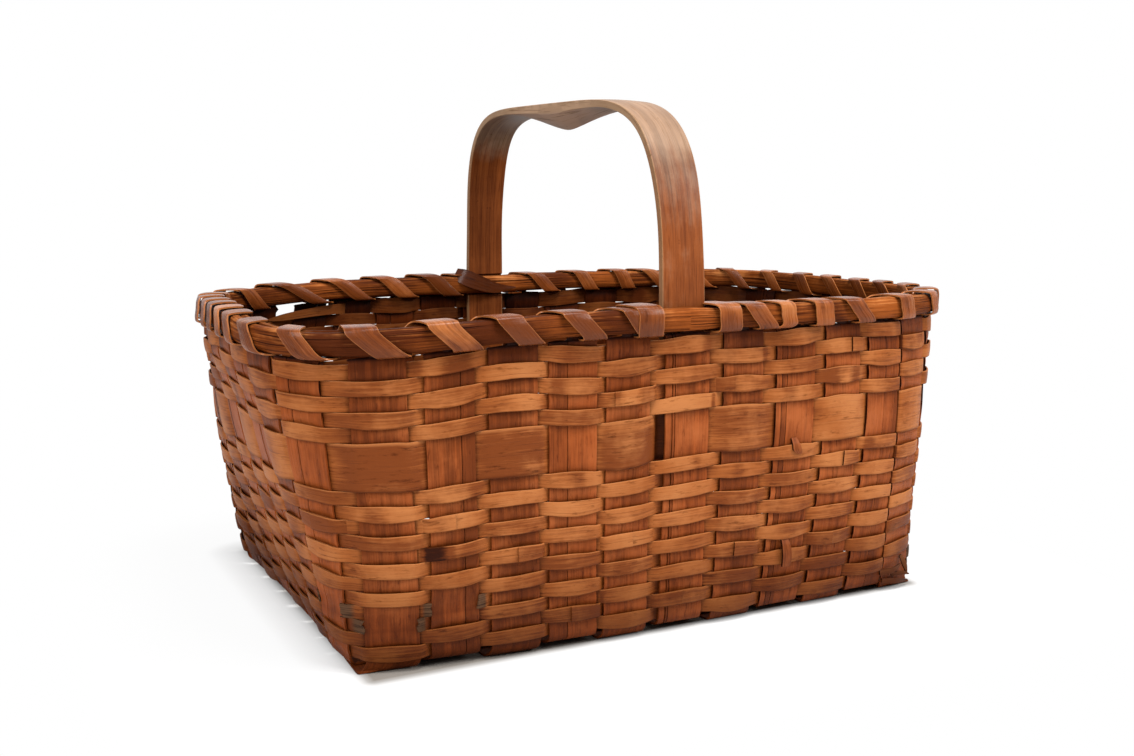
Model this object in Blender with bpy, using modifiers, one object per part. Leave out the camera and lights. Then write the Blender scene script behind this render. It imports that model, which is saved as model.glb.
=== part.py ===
"""Gathering basket woven from flat wood splints, with a bent strap handle.

Eleven cross stakes and eight lengthwise stakes are woven into a flat bottom mat. Past the mat
they turn up into 38 uprights, which stand at even steps round the wall. Eighteen weavers, one
of them wide, go round over one upright and under the next, and each row starts one upright
later than the row below it. Two hoops hold the tops of the uprights between them, the handle's
legs stand inside the wall in a notch that holds the inner hoop, and two lashing strips are
wound round both hoops, through the openings between the uprights' tongues.

Metres, +Z up. X is the long way, Y the short way, and the basket stands on z = 0.
"""

import functools
import math

import bmesh
import bpy
import numpy as np
from mathutils import Vector

# Wall, measured to the middle of the uprights' thickness
BOTTOM_LENGTH = 0.378
BOTTOM_WIDTH = 0.277
RIM_LENGTH = 0.458  # at the hoops' lower edge
RIM_WIDTH = 0.292
WALL_BULGE = 0.0036  # how far the wall bows out at mid height
BOTTOM_CORNER_POWER = 12.0  # superellipse power of the wall's outline: the higher, the squarer
RIM_CORNER_POWER = 4.5

# Stakes and weavers
CROSS_STAKES = 11
LENGTH_STAKES = 8
STAKE_THICKNESS = 0.0012
STAKE_GAP = 0.0034  # between neighbouring stakes, where the weavers cross over
WEAVER_THICKNESS = 0.0010
WEAVE_CLEARANCE = 0.0003
LAP = 0.00035  # how far a weaver runs flat past the edge of an upright
CORNER_LAP = 0.0010  # added to the lap for each radian that the wall turns there
BEND_ROOM = 0.0014  # least room that a stake has to bend up in, from the mat's edge out to the wall
FIRST_ROW_BOTTOM = 0.0078
LOWER_ROWS = 12
LOWER_ROW_PITCH = 0.0081
WIDE_ROW_PITCH = 0.0274
UPPER_ROWS = 5
UPPER_ROW_PITCH = 0.0087
ROW_GAP = 0.0005
RIM_GAP = 0.0036  # from the top row up to the hoops
SHOULDER_RISE = 0.0017  # from the top row up to the shoulders, above which the uprights are tongues
TONGUE_DROP = 0.002  # from the hoops' upper edge down to the tongues' tips

# Hoops, lashing and handle
HOOP_HEIGHT = 0.013
HOOP_THICKNESS = 0.006
HOOP_SEAT = 0.0014  # from the middle of the uprights to a hoop's flat side
HOOP_SAG = 0.0007  # how far a straight run between two rings may cut a hoop's curve
LASHING_WIDTH = 0.0125
LASHING_THICKNESS = 0.0009
LASHING_CLEARANCE = 0.0007
BRIDGE_SHARE = 0.5  # how high a flat strip stands off a round corner, as a share of half its reach
LASHING_BEND = 0.0019  # how far before a hoop's corner the strip starts to turn round it
LEG_CLEARANCE = 0.0005  # from the handle's edge to the nearest turn of the lashing
TONGUE_CLEARANCE = 0.0019  # from that turn to the next upright's tongue
HANDLE_WIDTH = 0.030
HANDLE_THICKNESS = 0.007
HANDLE_RISE = 0.1295  # from the middle of the hoops up to the top of the handle
HANDLE_TAIL = 0.079  # from the middle of the hoops down to the foot of each leg
HANDLE_POWER = 4.4
HANDLE_CHAMFER = 0.0014
HANDLE_BENDS = 11  # rings on each side of the arch
ARCH_START = 0.054  # from the middle of the hoops up to where the arch starts
NOTCH_LEFT = 0.003  # thickness that the notch leaves in a leg
NOTCH_CLEARANCE = 0.0006
NOTCH_STEP = 0.0002  # height over which the notch cuts in
TAIL_TIP_THICKNESS = 0.003
TAIL_TIP_WIDTH = 0.020
TAIL_ROUNDING = 0.004  # height of the rounded tip
TAIL_TAPER = 0.016  # height over which a tail thins towards its tip
GRIP_DEPTH = 0.014
GRIP_LENGTH = 0.145
GRIP_KEEL = 0.0065  # how far the grip's underside draws in at each side

STAKE_COLOUR = (0.40, 0.17, 0.07)
WEAVER_COLOUR = (0.50, 0.22, 0.09)
HOOP_COLOUR = (0.26, 0.11, 0.055)
LASHING_COLOUR = (0.38, 0.18, 0.09)
HANDLE_COLOUR = (0.36, 0.15, 0.07)

UPRIGHTS = 2 * (CROSS_STAKES + LENGTH_STAKES)
ROWS = LOWER_ROWS + 1 + UPPER_ROWS
WEAVE_OFFSET = STAKE_THICKNESS / 2 + WEAVE_CLEARANCE + WEAVER_THICKNESS / 2
MAT_LIFT = STAKE_THICKNESS + WEAVE_CLEARANCE
MAT_MIDDLE = STAKE_THICKNESS / 2 + MAT_LIFT
HANDLE_SEAT = WEAVE_OFFSET + WEAVER_THICKNESS / 2 + WEAVE_CLEARANCE


def row_edges():
    """Heights of the borders between rows, from the bottom up."""
    pitches = [LOWER_ROW_PITCH] * LOWER_ROWS + [WIDE_ROW_PITCH] + [UPPER_ROW_PITCH] * UPPER_ROWS
    return [FIRST_ROW_BOTTOM + sum(pitches[:i]) for i in range(ROWS + 1)]


ROW_EDGES = row_edges()
HOOP_BOTTOM = ROW_EDGES[-1] + RIM_GAP
HOOP_TOP = HOOP_BOTTOM + HOOP_HEIGHT
RIM_HEIGHT = (HOOP_BOTTOM + HOOP_TOP) / 2
HANDLE_TOP = RIM_HEIGHT + HANDLE_RISE
HANDLE_FOOT = RIM_HEIGHT - HANDLE_TAIL


def mix(low, high, share):
    return low + (high - low) * share


def half_sizes(z):
    """Half length, half width and corner power of the wall's outline at a height."""
    share = z / HOOP_BOTTOM
    bow = 4 * WALL_BULGE * share * (1 - share)
    power = 1 / mix(1 / BOTTOM_CORNER_POWER, 1 / RIM_CORNER_POWER, share)
    half_length = mix(BOTTOM_LENGTH, RIM_LENGTH, share) / 2 + bow
    half_width = mix(BOTTOM_WIDTH, RIM_WIDTH, share) / 2 + bow
    return half_length, half_width, power


@functools.lru_cache(maxsize=None)
def outline(z):
    """The wall's outline at a height, from the middle of the front towards +X and round."""
    half_length, half_width, power = half_sizes(z)
    angles = np.linspace(-math.pi / 2, 3 * math.pi / 2, 2881)
    across = np.abs(np.cos(angles) / half_length) ** power
    along = np.abs(np.sin(angles) / half_width) ** power
    reach = (across + along) ** (-1 / power)
    points = np.stack([reach * np.cos(angles), reach * np.sin(angles)], -1)
    steps = np.hypot(*np.diff(points, axis=0).T)
    return points, np.concatenate([[0.0], np.cumsum(steps)])


def outline_length(z):
    return outline(z)[1][-1]


def on_outline(z, distance):
    """Point, direction and outward side of the outline at a distance along it."""
    points, run = outline(z)
    length = run[-1]

    def point(at):
        return np.array([np.interp(at % length, run, points[:, i]) for i in (0, 1)])

    nudge = 0.0005
    ahead = point(distance + nudge) - point(distance - nudge)
    ahead /= np.hypot(*ahead)
    return point(distance), ahead, np.array([ahead[1], -ahead[0]])


RIM_LENGTH_ROUND = outline_length(HOOP_BOTTOM)
RIM_STEP = RIM_LENGTH_ROUND / UPRIGHTS
BESIDE_LEG = HANDLE_WIDTH / 2 + LEG_CLEARANCE + LASHING_WIDTH / 2
TONGUE_WIDTH = 2 * (RIM_STEP - BESIDE_LEG - LASHING_WIDTH / 2 - TONGUE_CLEARANCE)
CORNER_UPRIGHT = CROSS_STAKES // 2 + 1


def levels(upright):
    """Heights that an upright is drawn through. The nearer a corner, the more of them, as it twists."""
    from_middle = abs((upright + UPRIGHTS // 4) % (UPRIGHTS // 2) - UPRIGHTS // 4)
    from_corner = abs(from_middle - CORNER_UPRIGHT)
    return ROW_EDGES[:: {0: 2, 1: 2, 2: 3}.get(from_corner, 6)]


def levels_around(upright, z):
    """The two levels of an upright that a height lies between."""
    known = levels(upright)
    above = next((i for i, level in enumerate(known) if level >= z), len(known) - 1)
    return known[max(above, 1) - 1], known[max(above, 1)]


@functools.lru_cache(maxsize=None)
def corner_distance(z):
    """Distance along the outline from the middle of the front to the middle of the corner."""
    half_length, half_width, _ = half_sizes(z)
    points, run = outline(z)
    quarter = len(run) // 4
    across = points[:quarter, 0] / half_length + points[:quarter, 1] / half_width
    return np.interp(0.0, across, run[:quarter])


def upright_distance(upright, z):
    """Distance along the outline to an upright: in line with its stake at the bottom, even at the rim."""
    corner, whole = corner_distance(z), outline_length(z)
    front, side = CROSS_STAKES / 2, CROSS_STAKES / 2 + LENGTH_STAKES
    numbers = [-front, front, side, UPRIGHTS - side, UPRIGHTS - front, UPRIGHTS + front]
    corners = [-corner, corner, whole / 2 - corner, whole / 2 + corner, whole - corner, whole + corner]
    in_line = np.interp(upright, numbers, corners)
    return mix(in_line, upright * whole / UPRIGHTS, z / HOOP_BOTTOM)


def upright_width(upright, z):
    step = upright_distance(upright + 0.5, z) - upright_distance(upright - 0.5, z)
    return step - STAKE_GAP


def exact_edge(upright, side, z):
    """Edge point of an upright on the true outline at a height: side is -1 or +1 along it."""
    place, ahead, _ = on_outline(z, upright_distance(upright, z))
    return place + ahead * side * upright_width(upright, z) / 2


@functools.lru_cache(maxsize=None)
def edge_point(upright, side, z):
    """Edge point of an upright, straight between its levels."""
    low, high = levels_around(upright, z)
    share = (z - low) / (high - low)
    return mix(exact_edge(upright, side, low), exact_edge(upright, side, high), share)


def upright_sides(upright, z):
    """Direction and outward side of a flat upright at a height."""
    ahead = edge_point(upright, 1, z) - edge_point(upright, -1, z)
    ahead = ahead / np.hypot(*ahead)
    return ahead, np.array([ahead[1], -ahead[0]])


def twist_ease(upright, z):
    """How far a twisted upright's two triangles stand off the true surface between its levels."""
    low, high = levels_around(upright, z)
    ahead_low, _ = upright_sides(upright, low)
    ahead_high, _ = upright_sides(upright, high)
    twist = abs(ahead_low[0] * ahead_high[1] - ahead_low[1] * ahead_high[0])
    return upright_width(upright, z) * twist / 4


def turn_between(upright, z):
    """How far the wall turns from an upright to the next one, in radians."""
    first, _ = upright_sides(upright % UPRIGHTS, z)
    second, _ = upright_sides((upright + 1) % UPRIGHTS, z)
    return math.acos(max(-1.0, min(1.0, float(first @ second))))


def lifted(flat, z):
    return Vector((float(flat[0]), float(flat[1]), float(z)))


def material(name, colour, roughness):
    made = bpy.data.materials.new(name)
    made.use_nodes = True
    shader = made.node_tree.nodes["Principled BSDF"]
    shader.inputs["Base Color"].default_value = (*colour, 1.0)
    shader.inputs["Roughness"].default_value = roughness
    made.diffuse_color = (*colour, 1.0)
    return made


def sheet(rows, closed_rows=False, closed_columns=False):
    """A grid of faces laid through rows of points, joined end to end where it is closed."""
    rows = [list(row) + [row[0]] if closed_columns else list(row) for row in rows]
    if closed_rows:
        rows.append(rows[0])
    across, along = len(rows[0]) - 1, len(rows) - 1
    bm = bmesh.new()
    bmesh.ops.create_grid(bm, x_segments=along, y_segments=across, size=1.0)
    for vert in bm.verts:
        i = round((vert.co.x + 1) / 2 * along)
        j = round((vert.co.y + 1) / 2 * across)
        vert.co = rows[i][j]
    bmesh.ops.remove_doubles(bm, verts=bm.verts, dist=0.00001)
    return bm


def add_object(name, bm, colour, roughness, collection):
    mesh = bpy.data.meshes.new(name)
    bm.to_mesh(mesh)
    bm.free()
    made = bpy.data.objects.new(name, mesh)
    made.data.materials.append(material(name, colour, roughness))
    collection.objects.link(made)
    return made


def splint(name, rows, thickness, colour, collection, closed=False):
    """A flat strip through pairs of edge points, thickened evenly to both sides."""
    made = add_object(name, sheet(rows, closed_rows=closed), colour, 0.6, collection)
    shell = made.modifiers.new("thickness", "SOLIDIFY")
    shell.thickness = thickness
    shell.offset = 0.0
    shell.use_even_offset = True
    return made


def bar(name, rings, colour, collection, closed=False):
    """A solid bar through closed rings of points, capped where it ends."""
    bm = sheet(rings, closed_rows=closed, closed_columns=True)
    if not closed:
        bmesh.ops.holes_fill(bm, edges=[edge for edge in bm.edges if edge.is_boundary])
    bmesh.ops.recalc_face_normals(bm, faces=bm.faces)
    return add_object(name, bm, colour, 0.5, collection)


def passes_outside(row, upright):
    """Whether a weaver goes outside an upright. Row 0 is the lowest, and it covers odd uprights."""
    return (row + upright) % 2 == 1


def weaver_rows(row):
    """Pairs of edge points of one weaver, round the wall."""
    low = ROW_EDGES[row] + ROW_GAP / 2
    high = ROW_EDGES[row + 1] - ROW_GAP / 2
    middle = (low + high) / 2
    turns = [turn_between(upright, middle) for upright in range(UPRIGHTS)]
    pairs = []
    for upright in range(UPRIGHTS):
        offset = WEAVE_OFFSET + twist_ease(upright, middle)
        if not passes_outside(row, upright):
            offset = -offset
        for side, turn in ((-1, turns[upright - 1]), (1, turns[upright])):
            lap = LAP + CORNER_LAP * turn
            pair = []
            for z in (low, high):
                ahead, out = upright_sides(upright, z)
                flat = edge_point(upright, side, z) + ahead * side * lap + out * offset
                pair.append(lifted(flat, z))
            pairs.append(pair)
    return pairs


def wall_pairs(upright):
    """Edge points of an upright from its foot to the top of its tongue."""
    pairs = []
    for z in levels(upright):
        pairs.append([lifted(edge_point(upright, side, z), z) for side in (-1, 1)])
    middle = upright * RIM_STEP
    for z in (ROW_EDGES[-1] + SHOULDER_RISE, HOOP_TOP - TONGUE_DROP):
        tongue = [on_outline(HOOP_BOTTOM, middle + side * TONGUE_WIDTH / 2)[0] for side in (-1, 1)]
        pairs.append([lifted(place, z) for place in tongue])
    return pairs


def bend_pairs(mat_pair, foot_pair):
    """Two pairs on the quarter bend from the edge of the mat up to the foot of an upright."""
    pairs = []
    for angle in (math.radians(30), math.radians(60)):
        pair = []
        for start, end in zip(mat_pair, foot_pair):
            level = mix(start, end, math.sin(angle))
            pair.append(Vector((level.x, level.y, mix(end.z, start.z, math.cos(angle)))))
        pairs.append(pair)
    return pairs


# The mat reaches out to the wall's foot at the corner, where the outermost stakes have the least room
FOOT_X = abs(exact_edge(CORNER_UPRIGHT, -1, ROW_EDGES[0])[0])
FOOT_Y = abs(exact_edge(CORNER_UPRIGHT - 1, 1, ROW_EDGES[0])[1])
CROSS_PITCH = (2 * (FOOT_X - BEND_ROOM) + STAKE_GAP) / CROSS_STAKES
LENGTH_PITCH = (2 * (FOOT_Y - BEND_ROOM) + STAKE_GAP) / LENGTH_STAKES


def cross_place(number):
    """X of a cross stake on the mat, numbered from the left."""
    return (number - (CROSS_STAKES - 1) / 2) * CROSS_PITCH


def length_place(number):
    """Y of a lengthwise stake on the mat, numbered from the front."""
    return (number - (LENGTH_STAKES - 1) / 2) * LENGTH_PITCH


def whole_stake(first_wall, mat_pairs, second_wall):
    """Pairs of a stake from one top, down the wall, across the mat and up the other wall."""
    down = list(reversed(first_wall))
    first_bend = list(reversed(bend_pairs(mat_pairs[0], first_wall[0])))
    second_bend = bend_pairs(mat_pairs[-1], second_wall[0])
    return down + first_bend + mat_pairs + second_bend + second_wall


def cross_stake_rows(number):
    """The cross stakes rise and dip over the mat: above one lengthwise stake, below the next."""
    upright = number - CROSS_STAKES // 2
    x = cross_place(number)
    half = (CROSS_PITCH - STAKE_GAP) / 2
    half_crossing = (LENGTH_PITCH - STAKE_GAP) / 2 + LAP
    front = wall_pairs(upright % UPRIGHTS)
    back = [[pair[1], pair[0]] for pair in wall_pairs((UPRIGHTS // 2 - upright) % UPRIGHTS)]
    mat_pairs = []
    for crossing in range(LENGTH_STAKES):
        above = (upright + crossing) % 2 == 0
        z = MAT_MIDDLE + (MAT_LIFT if above else -MAT_LIFT)
        for side in (-1, 1):
            y = length_place(crossing) + side * half_crossing
            mat_pairs.append([Vector((x + edge * half, y, z)) for edge in (-1, 1)])
    return whole_stake(front, mat_pairs, back)


def length_stake_rows(number):
    """The lengthwise stakes lie flat in the middle of the mat."""
    y = length_place(number)
    half = (LENGTH_PITCH - STAKE_GAP) / 2
    half_mat = cross_place(CROSS_STAKES - 1) + (CROSS_PITCH - STAKE_GAP) / 2 + LAP
    right_upright = CORNER_UPRIGHT + number
    left_upright = UPRIGHTS - CORNER_UPRIGHT - number
    left = [[pair[1], pair[0]] for pair in wall_pairs(left_upright % UPRIGHTS)]
    right = wall_pairs(right_upright % UPRIGHTS)
    mat_pairs = []
    for x in (-half_mat, half_mat):
        mat_pairs.append([Vector((x, y + edge * half, MAT_MIDDLE)) for edge in (-1, 1)])
    return whole_stake(left, mat_pairs, right)


def handle_outer(angle):
    """Outer face of the handle: a superellipse from the foot of one leg over to the other."""
    half = half_sizes(HOOP_BOTTOM)[1] - HANDLE_SEAT
    y = -half * math.copysign(abs(math.cos(angle)) ** (2 / HANDLE_POWER), math.cos(angle))
    z = HANDLE_FOOT + (HANDLE_TOP - HANDLE_FOOT) * abs(math.sin(angle)) ** (2 / HANDLE_POWER)
    return np.array([y, z])


def handle_angle(z):
    """Angle at which the front leg passes a height."""
    share = (z - HANDLE_FOOT) / (HANDLE_TOP - HANDLE_FOOT)
    return math.asin(min(1.0, share ** (HANDLE_POWER / 2)))


def leg_depth(z):
    """How far in from the middle of the uprights a leg's outer face is at a height."""
    return half_sizes(HOOP_BOTTOM)[1] - abs(handle_outer(handle_angle(z))[0])


def smooth(share):
    share = max(0.0, min(1.0, share))
    return share * share * (3 - 2 * share)


def inner_seat(distance):
    """How far in the inner hoop's flat side lies: it bows in to pass over each handle leg."""
    half = RIM_LENGTH_ROUND / 2
    to_leg = min(distance % half, half - distance % half)
    notch_face = leg_depth(HOOP_TOP) + NOTCH_LEFT + NOTCH_CLEARANCE
    bowed = 1 - smooth((to_leg - HANDLE_WIDTH / 2) / RIM_STEP)
    return mix(HOOP_SEAT, notch_face, bowed)


def rim_point(distance, offset, z):
    """A point beside the rim: offset is measured outwards from the middle of the uprights."""
    place, _, out = on_outline(HOOP_BOTTOM, distance)
    return lifted(place + out * offset, z)


def rim_turn(distance, span):
    """How far the rim turns, in radians, over a span round a distance along it."""
    _, before, _ = on_outline(HOOP_BOTTOM, distance - span / 2)
    _, after, _ = on_outline(HOOP_BOTTOM, distance + span / 2)
    return math.acos(min(1.0, float(before @ after)))


def hoop_stops():
    """A ring at each upright, and more to the next one where the rim turns or the hoop bows in."""
    stops = []
    for upright in range(UPRIGHTS):
        here = upright * RIM_STEP
        sag = rim_turn(here + RIM_STEP / 2, RIM_STEP) * RIM_STEP / 8
        bows = abs(inner_seat(here) - inner_seat(here + RIM_STEP)) > HOOP_SAG / 2
        pieces = max(math.ceil(math.sqrt(sag / HOOP_SAG)), 2 if bows else 1)
        stops += [here + RIM_STEP * i / pieces for i in range(pieces)]
    return stops


def hoop_rings(seat, outwards):
    """A hoop's half-round section, flat against the uprights, at its stops round the rim."""
    profile = [(0.0, -0.5), (0.62, -0.5), (1.0, -0.26), (1.0, 0.26), (0.62, 0.5), (0.0, 0.5)]
    rings = []
    for distance in hoop_stops():
        ring = []
        for depth, height in profile:
            offset = outwards * (seat(distance) + depth * HOOP_THICKNESS)
            ring.append(rim_point(distance, offset, RIM_HEIGHT + height * HOOP_HEIGHT))
        rings.append(ring)
    return rings


def outer_seat(distance):
    return HOOP_SEAT


def lashing_stops():
    """Where one lashing passes below the hoops: beside a leg, in each opening, beside the other leg."""
    openings = [(i + 0.5) * RIM_STEP for i in range(1, UPRIGHTS // 2 - 1)]
    return [BESIDE_LEG] + openings + [RIM_LENGTH_ROUND / 2 - BESIDE_LEG]


def lashing_path(start):
    """Places of one lashing, as distance, offset and height, wound round both hoops from leg to leg."""
    skin = LASHING_CLEARANCE + LASHING_THICKNESS / 2
    out = HOOP_SEAT + HOOP_THICKNESS + skin
    top = HOOP_TOP + skin
    bottom = HOOP_BOTTOM - skin
    stops = [start + stop for stop in lashing_stops()]
    path = []
    for here, onwards in zip(stops, stops[1:]):
        path += [
            (here, out - LASHING_BEND, bottom),
            (mix(here, onwards, 0.02), LASHING_BEND - out, bottom),
            (mix(here, onwards, 0.09), -out, bottom + LASHING_BEND),
            (mix(here, onwards, 0.37), -out, top - LASHING_BEND),
            (mix(here, onwards, 0.42), LASHING_BEND - out, top),
            (mix(here, onwards, 0.64), out - LASHING_BEND, top),
            (mix(here, onwards, 0.69), out, top - LASHING_BEND),
            (mix(here, onwards, 0.97), out, bottom + LASHING_BEND),
        ]
    path.append((stops[-1], out - LASHING_BEND, bottom))
    return path


def lashing_place(distance, offset, z):
    """A point of the lashing, which follows the inner hoop where that bows in."""
    bow = inner_seat(distance) - HOOP_SEAT if offset < 0 else 0.0
    return rim_point(distance, offset - bow, z)


def lashing_rows(start):
    """Pairs of edge points of a lashing. Its folds lie along the hoops, however the strip slants."""
    path = lashing_path(start)
    places = [lashing_place(*stop) for stop in path]
    rows = []
    for i, (distance, offset, z) in enumerate(path):
        run = places[min(i + 1, len(path) - 1)] - places[max(i - 1, 0)]
        ahead = lashing_place(distance + 0.0005, offset, z) - lashing_place(distance - 0.0005, offset, z)
        slant = run.normalized().cross(ahead.normalized()).length
        half = LASHING_WIDTH / 2 / slant
        stand_off = BRIDGE_SHARE * half * rim_turn(distance, 2 * half)
        offset += math.copysign(stand_off, offset)
        rows.append([lashing_place(distance + side * half, offset, z) for side in (-1, 1)])
    return rows


def least_turn_gap(rows, points_a_turn=8):
    """Least distance between neighbouring turns of a lashing, less its thickness."""
    points = [pair[0].lerp(pair[1], share) for pair in rows for share in (0.0, 0.5, 1.0)]
    apart = 3 * (points_a_turn - 2)
    least = min(
        (a - b).length
        for i, a in enumerate(points)
        for b in points[i + apart : i + 3 * 2 * points_a_turn]
    )
    return least - LASHING_THICKNESS


def handle_stations():
    """Angle, thickness and width of each ring of the handle, from the front foot over to the back."""
    low = HOOP_BOTTOM - NOTCH_CLEARANCE
    high = HOOP_TOP + NOTCH_CLEARANCE
    rounded = mix(TAIL_TIP_THICKNESS, HANDLE_THICKNESS, TAIL_ROUNDING / TAIL_TAPER)
    leg = [
        (HANDLE_FOOT, TAIL_TIP_THICKNESS, TAIL_TIP_WIDTH),
        (HANDLE_FOOT + TAIL_ROUNDING, rounded, HANDLE_WIDTH - TAIL_ROUNDING),
        (HANDLE_FOOT + TAIL_TAPER, HANDLE_THICKNESS, HANDLE_WIDTH),
        (low - NOTCH_STEP, HANDLE_THICKNESS, HANDLE_WIDTH),
        (low, NOTCH_LEFT, HANDLE_WIDTH),
        (high, NOTCH_LEFT, HANDLE_WIDTH),
        (high + NOTCH_STEP, HANDLE_THICKNESS, HANDLE_WIDTH),
        (RIM_HEIGHT + ARCH_START, HANDLE_THICKNESS, HANDLE_WIDTH),
    ]
    half = [(handle_angle(z), thickness, width) for z, thickness, width in leg]
    first = half[-1][0]
    for i in range(1, HANDLE_BENDS + 1):
        angle = mix(first, math.pi / 2, i / HANDLE_BENDS)
        from_crown = abs(handle_outer(angle)[0])
        swell = smooth(1 - from_crown / (GRIP_LENGTH / 2))
        half.append((angle, mix(HANDLE_THICKNESS, GRIP_DEPTH, swell), HANDLE_WIDTH))
    back = [(math.pi - angle, thickness, width) for angle, thickness, width in reversed(half[:-1])]
    return half + back


def handle_rings():
    rings = []
    for angle, thickness, width in handle_stations():
        place = handle_outer(angle)
        ahead = handle_outer(angle + 0.002) - handle_outer(angle - 0.002)
        if place[1] < HANDLE_FOOT + 2 * TAIL_TAPER:
            ahead = np.array([0.0, -math.copysign(1.0, place[0])])
        ahead /= np.hypot(*ahead)
        inwards = np.array([ahead[1], -ahead[0]])
        chamfer = min(HANDLE_CHAMFER, thickness * 0.3)
        side = min(thickness, HANDLE_THICKNESS)
        keel = chamfer + GRIP_KEEL * (thickness - side) / (GRIP_DEPTH - HANDLE_THICKNESS)
        outline_points = [
            (-width / 2 + chamfer, 0.0),
            (width / 2 - chamfer, 0.0),
            (width / 2, chamfer),
            (width / 2, side - chamfer),
            (width / 2 - keel, thickness),
            (-width / 2 + keel, thickness),
            (-width / 2, side - chamfer),
            (-width / 2, chamfer),
        ]
        ring = []
        for x, depth in outline_points:
            flat = place + inwards * depth
            ring.append(Vector((x, float(flat[0]), float(flat[1]))))
        rings.append(ring)
    return rings


def build_basket():
    for old in list(bpy.data.objects):
        bpy.data.objects.remove(old)
    basket = bpy.data.collections.new("gathering_basket")
    bpy.context.scene.collection.children.link(basket)

    for number in range(CROSS_STAKES):
        rows = cross_stake_rows(number)
        splint(f"cross_stake_{number + 1:02d}", rows, STAKE_THICKNESS, STAKE_COLOUR, basket)
    for number in range(LENGTH_STAKES):
        rows = length_stake_rows(number)
        splint(f"length_stake_{number + 1:02d}", rows, STAKE_THICKNESS, STAKE_COLOUR, basket)
    for row in range(ROWS):
        name = "wide_weaver" if row == LOWER_ROWS else f"weaver_{row + 1:02d}"
        splint(name, weaver_rows(row), WEAVER_THICKNESS, WEAVER_COLOUR, basket, closed=True)

    bar("outer_hoop", hoop_rings(outer_seat, 1), HOOP_COLOUR, basket, closed=True)
    bar("inner_hoop", hoop_rings(inner_seat, -1), HOOP_COLOUR, basket, closed=True)
    bar("handle", handle_rings(), HANDLE_COLOUR, basket)
    for name, start in (("right_lashing", 0.0), ("left_lashing", RIM_LENGTH_ROUND / 2)):
        rows = lashing_rows(start)
        splint(name, rows, LASHING_THICKNESS, LASHING_COLOUR, basket)
        print(f"{name}: least gap between turns {1000 * least_turn_gap(rows):.2f} mm")


build_basket()
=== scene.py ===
"""Looks of the woven gathering basket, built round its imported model. Metres, +Z up."""

import math

import bmesh
import bpy
import numpy as np
from mathutils import Matrix, Vector


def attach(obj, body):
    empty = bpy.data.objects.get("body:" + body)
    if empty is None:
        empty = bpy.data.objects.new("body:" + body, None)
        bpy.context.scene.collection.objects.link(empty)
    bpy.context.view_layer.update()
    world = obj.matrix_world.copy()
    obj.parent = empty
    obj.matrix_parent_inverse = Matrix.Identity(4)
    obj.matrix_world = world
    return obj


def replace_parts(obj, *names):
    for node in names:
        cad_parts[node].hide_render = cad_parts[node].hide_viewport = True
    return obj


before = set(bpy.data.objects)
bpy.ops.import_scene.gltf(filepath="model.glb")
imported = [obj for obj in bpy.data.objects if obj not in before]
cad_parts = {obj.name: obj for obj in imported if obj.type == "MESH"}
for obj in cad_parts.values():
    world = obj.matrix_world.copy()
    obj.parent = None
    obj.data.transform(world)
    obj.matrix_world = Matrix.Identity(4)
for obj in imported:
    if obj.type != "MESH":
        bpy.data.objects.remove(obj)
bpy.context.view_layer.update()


# Studio: a white floor that runs out of sight, a large soft lamp overhead, one at the right and
# one at the left. The camera stands left of the basket's front and a little above its rim.
PHOTO_FOCAL_PIXELS, PHOTO_WIDTH_PIXELS = 1255.8, 1134
SENSOR_WIDTH = 36  # in millimetres, as Blender has it
CAMERA_PLACE = Vector((-0.3884, -0.7483, 0.2608))
CAMERA_YAW, CAMERA_DROP, CAMERA_ROLL = map(math.radians, (27.45, 8.69, 0.19))
LAMPS_AIM = Vector((0, 0, 0.1))
SURROUNDINGS_LIGHT = 0.19
FLOOR_RADIUS, FLOOR_DROP = 12, 0.0002
# The floor's shading starts at this distance from the middle, near the basket's edge, and fades out
# from there: how much of its white doesn't depend on light, and its colour, painted dark near the basket
# as a contact shadow.
SHADED_HALF = (0.185, 0.135, 0)
FLOOR_GLOW = ((0, 0), (0.008, 0.48), (0.032, 0.94), (0.14, 1))
FLOOR_COLOURS_AND_PAINTED_SHADOW = ((0.003, (0.2, 0.18, 0.16)), (0.013, (0.86, 0.86, 0.86)))


class Socket:
    """A value that changes over a surface. Sums with it add maths nodes to its tree."""

    def __init__(self, nodes, output):
        self.nodes = nodes
        self.output = output

    def maths(self, operation, first, second=0):
        return self.nodes.node("ShaderNodeMath", {"operation": operation}, [first, second])

    def __add__(self, other):
        return self.maths("ADD", self, other)

    def __sub__(self, other):
        return self.maths("SUBTRACT", self, other)

    def __rsub__(self, other):
        return self.maths("SUBTRACT", other, self)

    def __mul__(self, other):
        return self.maths("MULTIPLY", self, other)

    def __pow__(self, other):
        return self.maths("POWER", self, other)

    __radd__ = __add__

    def between(self, low, high):
        """0 below low, 1 above high, and a smooth rise from one to the other."""
        settings = {"interpolation_type": "SMOOTHSTEP"}
        return self.nodes.node("ShaderNodeMapRange", settings, [self, low, high, 0, 1])


class Nodes:
    """The nodes of a material or of the world."""

    def __init__(self, owner):
        owner.use_nodes = True
        self.tree = owner.node_tree

    def node(self, kind, settings, values, output=0):
        """Adds a node, with its settings first, then the values or links of its sockets."""
        made = self.tree.nodes.new(kind)
        for name, value in settings.items():
            if name == "stops":
                stops = made.color_ramp.elements
                while len(stops) < len(value):
                    stops.new(1)
                for stop, (place, colour) in zip(stops, value):
                    stop.position = place
                    stop.color = (*(colour if isinstance(colour, tuple) else (colour,) * 3), 1)
            else:
                setattr(made, name, value)
        named = values.items() if isinstance(values, dict) else enumerate(values)
        for place, value in named:
            if isinstance(value, Socket):
                self.tree.links.new(value.output, made.inputs[place])
            else:
                made.inputs[place].default_value = value
        return Socket(self, made.outputs[output]) if made.outputs else None

    def vector(self, operation, *values, output=0):
        return self.node("ShaderNodeVectorMath", {"operation": operation}, values, output)


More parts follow.
